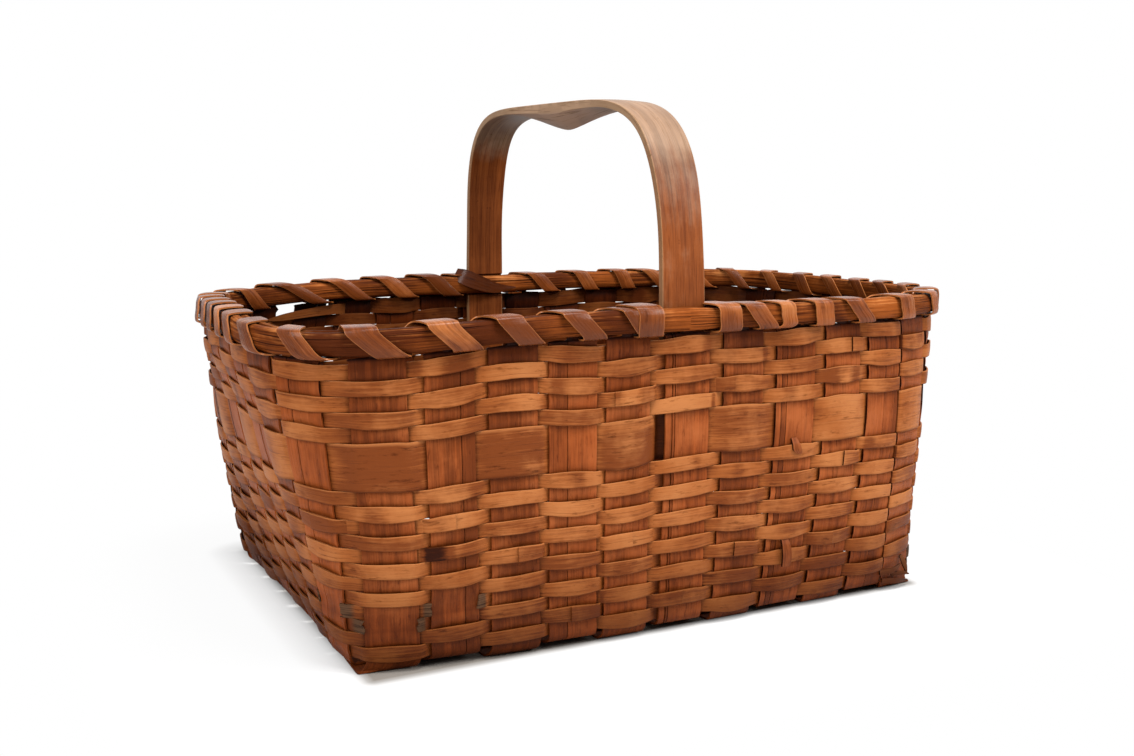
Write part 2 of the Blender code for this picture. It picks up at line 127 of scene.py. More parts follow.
def in_scene(name, data):
    thing = bpy.data.objects.new(name, data)
    bpy.context.scene.collection.objects.link(thing)
    return thing


def mesh_from(name, bm):
    mesh = bpy.data.meshes.new(name)
    bm.to_mesh(mesh)
    bm.free()
    return mesh


def studio_camera():
    lens = bpy.data.cameras.new("camera")
    lens.sensor_width = SENSOR_WIDTH
    lens.lens = SENSOR_WIDTH * PHOTO_FOCAL_PIXELS / PHOTO_WIDTH_PIXELS
    camera = in_scene("camera", lens)
    aimed = Matrix.Rotation(-CAMERA_YAW, 4, "Z") @ Matrix.Rotation(math.pi / 2 - CAMERA_DROP, 4, "X")
    camera.matrix_world = Matrix.Translation(CAMERA_PLACE) @ aimed @ Matrix.Rotation(CAMERA_ROLL, 4, "Z")
    bpy.context.scene.camera = camera


def soft_lamp(name, place, size, watts):
    light = bpy.data.lights.new(name, "AREA")
    light.shape = "RECTANGLE"
    light.size, light.size_y = size
    light.energy = watts
    lamp = in_scene(name, light)
    turned = (LAMPS_AIM - Vector(place)).to_track_quat("-Z", "Y").to_matrix().to_4x4()
    lamp.matrix_world = Matrix.Translation(Vector(place)) @ turned


def white_surroundings():
    """White to the camera and in reflections, and a plain dim light on the rest."""
    world = bpy.data.worlds.new("surroundings")
    bpy.context.scene.world = world
    nodes = Nodes(world)
    nodes.tree.nodes.clear()
    white = (1, 1, 1, 1)
    lighting = nodes.node("ShaderNodeBackground", {}, [white, SURROUNDINGS_LIGHT])
    seen = nodes.node("ShaderNodeBackground", {}, [white, 1])
    rays = [nodes.node("ShaderNodeLightPath", {}, [], f"Is {kind} Ray") for kind in ("Camera", "Glossy")]
    either = rays[0].maths("MAXIMUM", *rays)
    mixed = nodes.node("ShaderNodeMixShader", {}, [either, lighting, seen])
    nodes.node("ShaderNodeOutputWorld", {}, {"Surface": mixed})


def white_floor():
    """The floor keeps the basket's shadow, but a good part of its white doesn't depend on light. Its
    colour is painted darker at the basket's foot, as a contact shadow.
    """
    bm = bmesh.new()
    bmesh.ops.create_circle(bm, cap_ends=True, segments=64, radius=FLOOR_RADIUS)
    floor = in_scene("floor", mesh_from("floor", bm))
    floor.location.z = -FLOOR_DROP
    paper = bpy.data.materials.new("white_paper")
    nodes = Nodes(paper)
    nodes.tree.nodes.clear()
    place = nodes.node("ShaderNodeTexCoord", {}, [], "Object")
    outside = nodes.vector("SUBTRACT", nodes.vector("ABSOLUTE", place), SHADED_HALF)
    outside = nodes.vector("MAXIMUM", outside, (0, 0, 0))
    away = nodes.vector("LENGTH", outside, output="Value")
    glow = nodes.node("ShaderNodeValToRGB", {"stops": FLOOR_GLOW}, [away])
    # Painted contact shadow: the floor's colour is darker close to the basket's foot.
    colour = nodes.node("ShaderNodeValToRGB", {"stops": FLOOR_COLOURS_AND_PAINTED_SHADOW}, [away])
    matt = nodes.node("ShaderNodeBsdfDiffuse", {}, [colour])
    white = nodes.node("ShaderNodeEmission", {}, [])
    share = nodes.node("ShaderNodeLightPath", {}, [], "Is Camera Ray") * glow
    mixed = nodes.node("ShaderNodeMixShader", {}, [share, matt, white])
    nodes.node("ShaderNodeOutputMaterial", {}, {"Surface": mixed})
    floor.data.materials.append(paper)


bpy.context.scene.view_settings.view_transform = "Standard"
studio_camera()
soft_lamp("overhead_lamp", (0.2, -0.65, 1.5), size=(0.7, 0.6), watts=33)
soft_lamp("right_lamp", (1.3, -1.2, 1.1), size=(0.4, 0.4), watts=19.2)
soft_lamp("left_lamp", (-1.4, -0.8, 1), size=(0.7, 0.7), watts=22.5)
white_surroundings()
white_floor()


# Stakes: nineteen flat ash splints. Each runs up one wall, across the bottom and up the other,
# thinned by hand, with a lengthwise split or two where it dried. The weave alone holds them.
BOTTOM_LENGTH, BOTTOM_WIDTH = 0.378, 0.277
RIM_LENGTH, RIM_WIDTH = 0.458, 0.292
WALL_BULGE = 0.0036
BOTTOM_CORNER_POWER, RIM_CORNER_POWER = 12, 4.5
CROSS_STAKES, LENGTH_STAKES = 11, 8
MIDDLE_STAKE = CROSS_STAKES // 2
CORNER_UPRIGHT = MIDDLE_STAKE + 1
UPRIGHTS = 2 * (CROSS_STAKES + LENGTH_STAKES)
STAKE_THICKNESS = 0.0012
STAKE_GAP = 0.0034
FIRST_ROW_BOTTOM = 0.0078
LOWER_ROWS, UPPER_ROWS = 12, 5
LOWER_ROW_PITCH, WIDE_ROW_PITCH, UPPER_ROW_PITCH = 0.0081, 0.0274, 0.0087
RIM_GAP = 0.0036
ROWS = LOWER_ROWS + 1 + UPPER_ROWS
ROW_PITCHES = [LOWER_ROW_PITCH] * LOWER_ROWS + [WIDE_ROW_PITCH] + [UPPER_ROW_PITCH] * UPPER_ROWS
ROW_EDGES = [FIRST_ROW_BOTTOM + sum(ROW_PITCHES[:i]) for i in range(ROWS + 1)]
HOOP_BOTTOM = ROW_EDGES[-1] + RIM_GAP
MAT_MIDDLE, MAT_LIFT, MAT_ANSWER = 0.0021, 0.0015, 0.0002
BEND_ROOM = 0.0014
SPLINTS = np.random.default_rng(38)
RIM_STEP = 0.03527
# How far some uprights stand from even spacing, and how much of their share of the wall they fill.
UPRIGHT_SHIFTS = SPLINTS.uniform(-0.0012, 0.0012, UPRIGHTS)
UPRIGHT_SHIFTS[30:38] = (-0.002, -0.005, -0.008, -0.001, 0, -0.001, -0.001, -0.002)
UPRIGHT_SHIFTS[:6] = (0.001, 0.0055, 0.0085, 0.0095, 0.0095, 0.004)
FOOT_SHIFTS = UPRIGHT_SHIFTS.copy()
FOOT_SHIFTS[31:37] = (-0.006, -0.008, -0.004, -0.004, -0.003, -0.002)
UPRIGHT_SHIFTS[22:26] = (-0.001, -0.0005, 0.0075, 0.003)
# The stake, cross ones first, that each upright is one end of, round from the front's middle.
CROSS, LENGTH = np.arange(CROSS_STAKES), CROSS_STAKES + np.arange(LENGTH_STAKES)
STAKE_OF = np.roll(np.concatenate([CROSS, LENGTH, CROSS[::-1], LENGTH[::-1]]), -MIDDLE_STAKE)
STAKE_HALF_WIDTH = 0.0159
STAKE_FILLS = SPLINTS.uniform(0.84, 0.93, CROSS_STAKES + LENGTH_STAKES)
STAKE_FILLS[:8] = (0.9, 0.82, 0.88, 0.92, 0.88, 0.99, 0.88, 0.9)
STAKE_FILLS[9] = 0.88
LEAST_GAP = 0.0006  # from the edge of a splint to the middle of the gap beside it
FLATNESS = 0.8  # an upright is this much a flat splint, and for the rest bent with the wall
OUTER_LEAN, INNER_LEAN = -0.00035, 0.00045  # of an upright, under a weaver and over one
TONGUE_SHARE, TONGUE_TIP_SHARE = 0.26, 0.24  # width of an upright's top between the hoops
SMOOTH = 3  # places between two control rows


def mix(low, high, share):
    return low + (high - low) * share


def unit(vectors):
    return vectors / np.linalg.norm(vectors, axis=-1, keepdims=True)


def distances(steps):
    return np.concatenate([[0], np.cumsum(steps)])


def read_along(points, run, where):
    """Places on a flat curve through points, at distances where along it."""
    return np.stack([np.interp(where, run, points[:, i]) for i in (0, 1)], -1)


# The wall's outline is worked out at these heights and places, and read between them.
TABLE_HEIGHTS = np.linspace(0, 0.21, 43)
TABLE_STEPS = 16  # for each upright
TABLE_UPRIGHTS = np.arange(-2 * TABLE_STEPS, (UPRIGHTS + 2) * TABLE_STEPS + 1) / TABLE_STEPS


def wall_table():
    """Places, outward sides and room for a splint at the table's uprights and heights, by formula."""
    places, sides, widths = [], [], []
    angles = np.linspace(-math.pi / 2, 3 * math.pi / 2, 5761)
    for z in TABLE_HEIGHTS:
        share = z / HOOP_BOTTOM
        bow = 4 * WALL_BULGE * share * (1 - share)
        power = 1 / mix(1 / BOTTOM_CORNER_POWER, 1 / RIM_CORNER_POWER, share)
        half_length = mix(BOTTOM_LENGTH, RIM_LENGTH, share) / 2 + bow
        half_width = mix(BOTTOM_WIDTH, RIM_WIDTH, share) / 2 + bow
        across = np.abs(np.cos(angles) / half_length) ** power
        along = np.abs(np.sin(angles) / half_width) ** power
        reach = (across + along) ** (-1 / power)
        points = np.stack([reach * np.cos(angles), reach * np.sin(angles)], -1)
        run = distances(np.hypot(*np.diff(points, axis=0).T))
        quarter = len(run) // 4
        diagonal = points[:quarter, 0] / half_length + points[:quarter, 1] / half_width
        corner, whole = np.interp(0, diagonal, run[:quarter]), run[-1]
        front, side = CROSS_STAKES / 2, CROSS_STAKES / 2 + LENGTH_STAKES
        numbers = [-front, front, side, UPRIGHTS - side, UPRIGHTS - front, UPRIGHTS + front]
        corners = [middle + end for middle in (0, whole / 2, whole) for end in (-corner, corner)]

        def distance(upright):
            return mix(np.interp(upright, numbers, corners), upright * whole / UPRIGHTS, min(share, 1))

        at = distance(TABLE_UPRIGHTS)
        here, before, after = (read_along(points, run, (at + d) % whole) for d in (0, -0.0005, 0.0005))
        ahead = unit(after - before)
        places.append(here)
        sides.append(np.stack([ahead[:, 1], -ahead[:, 0]], -1))
        widths.append(distance(TABLE_UPRIGHTS + 0.5) - distance(TABLE_UPRIGHTS - 0.5) - STAKE_GAP)
    return np.array(places), np.array(sides), np.array(widths)


WALL_PLACES, WALL_SIDES, WALL_WIDTHS = wall_table()


def from_wall(table, upright, z):
    """Reads one of the wall's tables between its entries, for arrays of uprights and heights."""
    upright, z = np.broadcast_arrays(np.asarray(upright, float), np.asarray(z, float))
    row = np.clip(z / TABLE_HEIGHTS[1], 0, len(TABLE_HEIGHTS) - 1.001)
    column = ((upright + 0.5) % UPRIGHTS - 0.5 - TABLE_UPRIGHTS[0]) * TABLE_STEPS
    i, j = row.astype(int), column.astype(int)
    up, on = row - i, column - j
    if table.ndim == 3:
        up, on = up[..., None], on[..., None]
    low = mix(table[i, j], table[i, j + 1], on)
    high = mix(table[i + 1, j], table[i + 1, j + 1], on)
    return mix(low, high, up)


def on_upright(upright, across, z, offset):
    """Points on or off an upright: across runs from -1 to 1 over its width."""
    whole = np.round(upright).astype(int) % UPRIGHTS
    room = (from_wall(WALL_WIDTHS, upright, z) + STAKE_GAP) / 2
    half = np.minimum(STAKE_HALF_WIDTH * STAKE_FILLS[STAKE_OF[whole]], room - LEAST_GAP)
    placed = upright + mix(FOOT_SHIFTS[whole], UPRIGHT_SHIFTS[whole], z / HOOP_BOTTOM) / RIM_STEP
    out = np.asarray(offset)[..., None]
    side = from_wall(WALL_SIDES, placed, z)
    ahead = np.stack([-side[..., 1], side[..., 0]], -1)
    flat = from_wall(WALL_PLACES, placed, z) + ahead * (across * half)[..., None] + side * out
    beside = placed + across * half / room / 2
    bent = from_wall(WALL_PLACES, beside, z) + from_wall(WALL_SIDES, beside, z) * out
    level = np.broadcast_to(z, flat.shape[:-1])
    return np.concatenate([mix(bent, flat, FLATNESS), level[..., None]], -1)


# Where the old basket has gone out of shape: middle, reach sideways, reach up and down, and shift.
OUT_OF_TRUE = (
    ((-0.215, -0.13, 0.19), 0.085, 0.075, (-0.0055, -0.0035, -0.0055)),
    ((-0.215, 0.13, 0.19), 0.1, 0.05, (0.01, 0, -0.0035)),
    ((0.215, 0, 0.19), 0.1, 0.04, (0.0025, 0, 0)),
    ((-0.222, 0.02, 0.166), 0.08, 0.02, (-0.005, 0, 0)),
    ((-0.18, -0.13, 0), 0.065, 0.045, (-0.004, 0.0078, 0)),
    ((0.04, -0.139, 0), 0.09, 0.04, (0, -0.0035, 0)),
    ((0.222, -0.06, 0.165), 0.08, 0.03, (0.005, 0, 0)),
    ((0.205, -0.06, 0.065), 0.08, 0.045, (-0.004, 0, 0)),
    ((-0.18, 0.135, 0), 0.06, 0.05, (-0.004, 0.002, 0)),
    ((0.18, -0.13, 0), 0.06, 0.03, (0.003, -0.002, 0)),
)


def settled(points):
    """The same points on the basket as it has sagged and spread with use."""
    moved = points.copy()
    for middle, reach, rise, shift in OUT_OF_TRUE:
        sideways = np.hypot(points[..., 0] - middle[0], points[..., 1] - middle[1]) / reach
        upward = (points[..., 2] - middle[2]) / rise
        moved += np.exp(-sideways ** 2 - upward ** 2)[..., None] * np.array(shift)
    return moved


CATMULL_ROM = np.array([(0, 2, 0, 0), (-1, 0, 1, 0), (2, -5, 4, -1), (-1, 3, -3, 1)]) / 2


def eased(control, steps, closed=False):
    """Catmull-Rom curve through rows of points, with steps samples between each two rows."""
    control = np.asarray(control, float)
    if closed:
        control = np.concatenate([control[-1:], control, control[:2]])
    else:
        lead, tail = 2 * control[:1] - control[1:2], 2 * control[-1:] - control[-2:-1]
        control = np.concatenate([lead, control, tail])
    around = np.stack([control[:-3], control[1:-2], control[2:-1], control[3:]])
    powers = (np.arange(steps) / steps)[:, None] ** np.arange(4)
    curve = np.einsum("sp,pk,kr...->rs...", powers, CATMULL_ROM, around).reshape(-1, *control.shape[1:])
    return curve if closed else np.concatenate([curve, control[-2:-1]])


def strip_mesh(rows, closed=False, **attributes):
    """A grid moved onto rows of points, with its own length and width in metres as its UV map."""
    rows = np.asarray(rows, float)
    given = rows.shape[:2]
    if closed:
        rows = np.concatenate([rows, rows[:1]])
    along, across = rows.shape[0] - 1, rows.shape[1] - 1
    bm = bmesh.new()
    bmesh.ops.create_grid(bm, x_segments=along, y_segments=across, size=1.0)
    mesh = mesh_from("strip", bm)
    flat = np.array([vertex.co for vertex in mesh.vertices])
    i = np.round((flat[:, 0] + 1) / 2 * along).astype(int)
    j = np.round((flat[:, 1] + 1) / 2 * across).astype(int)
    rows = settled(rows)
    mesh.vertices.foreach_set("co", rows[i, j].ravel())
    length = distances(np.linalg.norm(np.diff(rows[:, across // 2], axis=0), axis=1))
    width = distances(np.linalg.norm(np.diff(rows, axis=1), axis=2).mean(0))
    corners = [loop.vertex_index for loop in mesh.loops]
    uv = np.stack([length[i], width[j]], -1)[corners]
    mesh.uv_layers.new(name="UVMap").data.foreach_set("uv", uv.ravel())
    for name, values in attributes.items():
        values = np.broadcast_to(np.asarray(values, float), given)[i % given[0], j]
        mesh.attributes.new(name, "FLOAT", "POINT").data.foreach_set("value", values)
    return mesh


def joined(name, meshes, material, capped=False):
    """One smooth object from several meshes, with doubles merged and faces turned outwards."""
    bm = bmesh.new()
    for mesh in meshes:
        bm.from_mesh(mesh)
        bpy.data.meshes.remove(mesh)
    bmesh.ops.remove_doubles(bm, verts=bm.verts, dist=0.00002)
    if capped:
        bmesh.ops.holes_fill(bm, edges=[edge for edge in bm.edges if edge.is_boundary], sides=0)
    bmesh.ops.recalc_face_normals(bm, faces=bm.faces)
    whole = mesh_from(name, bm)
    whole.shade_smooth()
    whole.materials.append(material)
    return in_scene(name, whole)


def thickened(piece, thickness):
    shell = piece.modifiers.new("thickness", "SOLIDIFY")
    shell.thickness = thickness
    shell.offset = 0
    shell.use_even_offset = False


def worn_edges(piece, width, segments=2, sharp=50):
    """Takes the sharpness off edges where faces turn by more than so many degrees."""
    worn = piece.modifiers.new("worn_edges", "BEVEL")
    worn.width = width
    worn.segments = segments
    worn.limit_method = "ANGLE"
    worn.angle_limit = math.radians(sharp)
    worn.harden_normals = True


class Finish(Nodes):
    """One piece's material."""

    def __init__(self, name):
        self.material = bpy.data.materials.new(name)
        super().__init__(self.material)
        self.shader = self.tree.nodes["Principled BSDF"]

    def blend(self, share, low, high):
        """A colour between two others."""
        settings = {"data_type": "RGBA", "clamp_factor": True}
        low, high = (c if isinstance(c, Socket) else (*c, 1) for c in (low, high))
        return self.node("ShaderNodeMix", settings, {0: share, 6: low, 7: high}, 2)

    def shaded(self, colour, shade, full=1):
        """A colour times a number, deeper in colour where the number is well below full."""
        depth = shade * (1 / full)
        parts = [shade, shade * depth ** 0.2, shade * depth ** 0.55]
        grey = self.node("ShaderNodeCombineColor", {}, parts)
        settings = {"data_type": "RGBA", "blend_type": "MULTIPLY"}
        return self.node("ShaderNodeMix", settings, {0: 1, 6: colour, 7: grey}, 2)

    def attribute(self, name):
        return self.node("ShaderNodeAttribute", {"attribute_name": name}, [], "Fac")

    def place(self):
        return self.node("ShaderNodeTexCoord", {}, [], "Object")

    def grain(self):
        """Place along and across the splint in metres."""
        return self.node("ShaderNodeUVMap", {"uv_map": "UVMap"}, [])

    def numbered_grain(self):
        """The same, moved by the splint's number, so that no two splints have one grain."""
        number = self.attribute("number")
        offset = self.node("ShaderNodeCombineXYZ", {}, [number * 0.37, number * 0.11, number])
        return self.vector("ADD", self.grain(), offset)

    def noise(self, vector, scale, detail=4, rough=0.55):
        """Noise from 0 to 1. scale is one number, or one for each axis."""
        if isinstance(scale, tuple):
            vector, scale = self.vector("MULTIPLY", vector, scale), 1
        values = {"Vector": vector, "Scale": scale, "Detail": detail, "Roughness": rough}
        return self.node("ShaderNodeTexNoise", {}, values)

    def feed(self, name, value):
        if isinstance(value, Socket):
            self.tree.links.new(value.output, self.shader.inputs[name])
        else:
            self.shader.inputs[name].default_value = value

    def bump(self, height, strength, distance):
        values = {"Strength": strength, "Distance": distance, "Height": height}
        self.feed("Normal", self.node("ShaderNodeBump", {}, values))


def splint_wood(name, dark, plain, light, streaks, grain=1, roughness=0.52, shine=0.06, woven=True,
                painted_recess_shade=(0.12, 0.36), painted_rim_shadow=0.1, bottom_darkening=0.7):
    """Aged split ash: long fibres, dark pore lines, worn paler where it stands proud of the weave, with
    painted shade where it lies back, inside the wall, under the rim and on lower edges, a painted
    highlight on upper edges, and darker towards the bottom.
    """
    finish = Finish(name)
    along = finish.numbered_grain()
    broad = finish.noise(along, (14, 260, 1), 3)
    fibres = finish.noise(along, (38, 1000, 1), 5, 0.68)
    pores = finish.noise(along, (22, 1300, 3), 2, 0.4)
    mottle = finish.noise(along, (90, 420, 1), 5, 0.7)
    place = finish.place()
    patches = finish.noise(place, 28, 4, 0.6)
    tone = finish.attribute("tone")
    proud = finish.attribute("proud")
    level = finish.node("ShaderNodeSeparateXYZ", {}, [place], 2)
    # Darker towards the bottom of the basket.
    low_dark_and_painted_shade = 1 - (1 - level.between(-0.01, 0.075)) * bottom_darkening
    if woven:
        # Inside the wall the splints that stand proud are the ones that are recessed outside.
        normal = finish.node("ShaderNodeNewGeometry", {}, [], "Normal")
        away = finish.vector("MULTIPLY", place, (1, 1, 0))
        outward = finish.vector("DOT_PRODUCT", normal, away, output="Value").between(-0.03, -0.008)
        outward = outward.maths("MAXIMUM", outward, 1 - level.between(0.005, 0.009))
        proud = proud * outward + (1 - proud) * (1 - outward)
        # Painted shade: faces turned into the basket are darkened, and so is the band just under the rim,
        # as its shadow.
        low_dark_and_painted_shade = low_dark_and_painted_shade * (outward * 0.62 + 0.38) * (1 - level.between(0.15, 0.172) * painted_rim_shadow)
    pale = (broad * 0.7 + (fibres - 0.5) * grain + patches * 0.6 - 0.38 + tone).between(0, 0.48)
    colour = finish.blend(pale, dark, plain)
    rubbed = (patches - 0.5) * 1.4 + (fibres - 0.5) * 0.5 + proud * 0.35 + tone * 0.5
    colour = finish.blend(rubbed.between(0.12, 0.75), colour, light)
    # Painted highlight along edges with a positive edge value: a weaver's upper edge, both edges of a
    # lashing turn.
    edge = finish.attribute("edge")
    colour = finish.blend(edge.between(0.2, 1) * 0.7, colour, light)
    grey = finish.attribute("weathered")
    bare = finish.blend(fibres.between(0.35, 0.62), (0.055, 0.024, 0.011), (0.17, 0.086, 0.047))
    colour = finish.blend((grey + (patches - 0.5) * grey).between(0.1, 0.8), colour, bare)
    pore_lines = pores.between(0.6, 0.74) * streaks
    stains = mottle.between(0.54, 0.74) * 0.55
    # Painted shade: where a splint lies back in the weave, behind another, it is darkened.
    depth = proud.between(*painted_recess_shade) * 0.6 + 0.12
    marks = ((mottle - 0.5) * 1.6 + (patches - 0.5) * 1.2 - tone).between(0.5, 1.5) * 0.85
    # Painted shade along edges with a negative edge value: a weaver's lower edge.
    painted_shade_under = (0 - edge).between(0.2, 1) * 0.5
    shade = (1 - pore_lines * 0.8) * (1 - stains) * depth * low_dark_and_painted_shade * (1 - marks) * (1 - painted_shade_under)
    finish.feed("Base Color", finish.shaded(colour, shade, 0.72))
    finish.feed("Specular IOR Level", shine)
    finish.feed("Roughness", roughness + (fibres - 0.5) * 0.22 - proud * 0.05)
    finish.bump(fibres * 0.5 + broad * 0.5 - pore_lines * 0.8, 0.8, 0.0004)
    return finish.material


def passes_outside(row, upright):
    return (row + upright) % 2 == 1


# Uprights laid bare where a weaver is worn away: row and upright.
LAID_BARE = ((3, 34), (3, 32), (2, 33), (0, 5))


def upright_rows(upright, columns, side, lift):
    """Control rows of one lane of an upright, from its foot to its tip. side turns its columns round."""
    rows = [on_upright(upright, side * columns, ROW_EDGES[0], lift)]
    # proud sets the upright's painted shade: darker at each row's edge, under the weavers, darker still
    # where a weaver passes outside it, and darkest at the tip between the hoops.
    proud = [0.55]
    for row in range(ROWS):
        lean = OUTER_LEAN if passes_outside(row, upright) else INNER_LEAN
        for z, offset in ((mix(*ROW_EDGES[row:row + 2], 0.5), lean), (ROW_EDGES[row + 1], 0)):
            rows.append(on_upright(upright, side * columns, z, offset + lift))
            proud.append(0.7 if (row, upright) in LAID_BARE else 0.55 + 600 * offset)
    for rise, share in ((-0.0016, 1), (-0.001, TONGUE_SHARE), (0.011, TONGUE_TIP_SHARE)):
        tongue = on_upright(upright, np.clip(side * columns, -1, 1) * share, HOOP_BOTTOM, 0)
        tongue[:, 2] += rise
        rows.append(tongue)
        proud.append(0.2)
    return rows, proud


def bend_rows(mat_row, foot_row):
    rows = []
    for angle in (math.radians(30), math.radians(60)):
        row = mix(mat_row, foot_row, math.sin(angle))
        row[:, 2] = mix(foot_row[:, 2], mat_row[:, 2], math.cos(angle))
        rows.append(row)
    return rows


def mat_pitch(upright, across, axis, count):
    """Pitch of so many stakes in the mat, which ends beside the foot of this corner upright."""
    half = abs(on_upright(upright, across, ROW_EDGES[0], 0)[axis]) - BEND_ROOM
    return (2 * half + STAKE_GAP) / count


CROSS_PITCH = mat_pitch(CORNER_UPRIGHT, -1, 0, CROSS_STAKES)
LENGTH_PITCH = mat_pitch(CORNER_UPRIGHT - 1, 1, 1, LENGTH_STAKES)


def mat_rows(number, columns, is_cross, shifts):
    """Control rows of a stake across the bottom. Cross stakes wave, lengthwise ones hardly."""
    own, other = (CROSS_STAKES, LENGTH_STAKES) if is_cross else (LENGTH_STAKES, CROSS_STAKES)
    own_pitch, other_pitch = (CROSS_PITCH, LENGTH_PITCH) if is_cross else (LENGTH_PITCH, CROSS_PITCH)
    middle = (number - (own - 1) / 2) * own_pitch
    half = STAKE_HALF_WIDTH * STAKE_FILLS[number + (0 if is_cross else CROSS_STAKES)]
    half = min(half, own_pitch / 2 - LEAST_GAP)
    rows = []
    for crossing in range(other):
        cross_number, length_number = (number, crossing) if is_cross else (crossing, number)
        above = (cross_number - MIDDLE_STAKE + length_number) % 2 == 0
        lift = (1 if above else -1) * (MAT_LIFT if is_cross else -MAT_ANSWER)
        for end in (-1, 0, 1):
            run = (crossing - (other - 1) / 2) * other_pitch
            run += end * ((other_pitch - STAKE_GAP) / 2 + 0.0002)
            aside = middle + columns * half + mix(*shifts, run / (other * other_pitch) + 0.5)
            run = np.full(len(columns), run)
            level = np.full(len(columns), MAT_MIDDLE + lift)
            rows.append(np.stack([aside, run, level] if is_cross else [run, aside, level], -1))
    return rows


# Splits seen in the front of some cross stakes, as shares of half their width.
SEEN_SPLITS = {1: [0.42], 3: [-0.24], 5: [-0.6, -0.47], 7: [-0.72, -0.45], 9: [0.1]}
# Cross stakes that are darker than the rest, and by how much: stakes 0 to 2, at the left of the front,
# carry painted shade; the middle one and stake 7 are darker in tone.
DARKER_AND_SHADED_STAKES = {0: 0.18, 1: 0.2, 2: 0.2, MIDDLE_STAKE: 0.16, 7: 0.16}
# The middle one is split off along its left edge.
MIDDLE_LEFT_EDGE = -0.86
# Splinters sprung off the front of stakes: across, height, distance out and half width along each.
SPLINTERS = {7: (
    (
        (-0.1, 0.0475, 0.0018, 0.0026), (-0.08, 0.043, 0.0044, 0.0034),
        (-0.02, 0.037, 0.0052, 0.0038), (0, 0.03, 0.0046, 0.0034),
    ), (
        (0.00, 0.11, 0.0008, 0.0022), (0.04, 0.1065, 0.003, 0.003),
        (0.1, 0.103, 0.0036, 0.0034), (0.24, 0.1004, 0.003, 0.0022),
    ),
)}


def splinter(upright, path):
    path = eased(path, 4)
    across = path[:, :1] + np.array([-1, 0, 1]) * path[:, 3:] / STAKE_HALF_WIDTH
    upright, across, z, offset = np.broadcast_arrays(float(upright), across, path[:, 1:2], path[:, 2:3])
    rows = on_upright(upright, across, z, offset)
    return strip_mesh(rows, proud=1, tone=-0.1, number=93, weathered=0.25)


def stake(name, number, is_cross, material):
    """One stake, in lanes where the splint has split along its grain."""
    if is_cross:
        first = (number - MIDDLE_STAKE) % UPRIGHTS
        second = (UPRIGHTS // 2 - first) % UPRIGHTS
    else:
        first = (UPRIGHTS - CORNER_UPRIGHT - number) % UPRIGHTS
        second = CORNER_UPRIGHT + number
    turned = 1 if is_cross else -1
    shifts = turned * FOOT_SHIFTS[first], -turned * FOOT_SHIFTS[second]
    splits = sorted(SPLINTS.uniform(-0.75, 0.75, SPLINTS.integers(1, 3)))
    if is_cross:
        splits = SEEN_SPLITS.get(number, [])
    edges = [MIDDLE_LEFT_EDGE if is_cross and number == MIDDLE_STAKE else -1, *splits, 1]
    tone = SPLINTS.uniform(-0.1, 0.1)
    if is_cross:
        tone -= DARKER_AND_SHADED_STAKES.get(number, 0)
    meshes = []
    for lane, (left, right) in enumerate(zip(edges, edges[1:])):
        gap = SPLINTS.uniform(0.01, 0.034)
        columns = np.linspace(left + gap * (lane > 0), right - gap * (lane < len(edges) - 2), 4)
        lift = SPLINTS.uniform(-0.00025, 0.00025)
        down, down_proud = upright_rows(first, columns, turned, lift)
        up, up_proud = upright_rows(second, columns, -turned, lift)
        flat = mat_rows(number, columns, is_cross, shifts)
        rows = down[::-1] + bend_rows(flat[0], down[0])[::-1] + flat + bend_rows(flat[-1], up[0]) + up
        # The bottom and the bends take one middle value, which sets their painted shade.
        proud = np.array(down_proud[::-1] + [0.58] * (len(flat) + 4) + up_proud)
        meshes.append(strip_mesh(
            eased(rows, SMOOTH),
            proud=eased(proud[:, None], SMOOTH),
            tone=tone + SPLINTS.uniform(-0.12, 0.12),
            number=number * 3.1 + lane * 7.7 + 50 * is_cross,
        ))
    if is_cross:
        meshes += [splinter(first, path) for path in SPLINTERS.get(number, ())]
    piece = joined(name, meshes, material)
    thickened(piece, STAKE_THICKNESS)
    worn_edges(piece, 0.0002)
    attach(piece, "root")
    return piece


stake_wood = splint_wood(
    "stake_wood", dark=(0.15, 0.032, 0.006), plain=(0.35, 0.077, 0.015), light=(0.43, 0.121, 0.034),
    streaks=0.2, grain=0.45, painted_recess_shade=(0.26, 0.66), painted_rim_shadow=0.45, bottom_darkening=0.5,
)
for kind, count in (("cross", CROSS_STAKES), ("length", LENGTH_STAKES)):
    for number in range(count):
        node = f"{kind}_stake_{number + 1:02d}"
        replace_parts(stake(f"splint_{node}", number, kind == "cross", stake_wood), node)


# Weavers: eighteen long ash splints, one of them a wide band. Each is woven once round, outside
# one upright and inside the next, and its ends lap. A few are worn through near the front corners.
WEAVER_THICKNESS = 0.001
WEAVE_REST = STAKE_THICKNESS / 2 + WEAVER_THICKNESS / 2 + 0.0001
WEAVE_BOW, BOW_SPREAD, LEAST_BOW, MOST_BOW = 0.0013, 0.0003, 0.0006, 0.0021
MOST_OUT = 0.0022  # how far a weaver's middle stands off the uprights' middle at the most
WEAVER_COLUMNS = np.array([-1, -0.84, -0.3, 0.3, 0.84, 1])
UPRIGHT_STOPS = (-1, -0.55, 0, 0.55, 1)  # places across each upright that a weaver's curve passes
WEAVER_MIDDLE_SWELL = 0.0004
WEAVER_CUP = 0.00018
STAINS = 6  # on each weaver
HANDLE_UPRIGHTS = (0, UPRIGHTS // 2)
TOP_ROW_RISE = 0.0017  # how much higher the top weaver reaches at the back
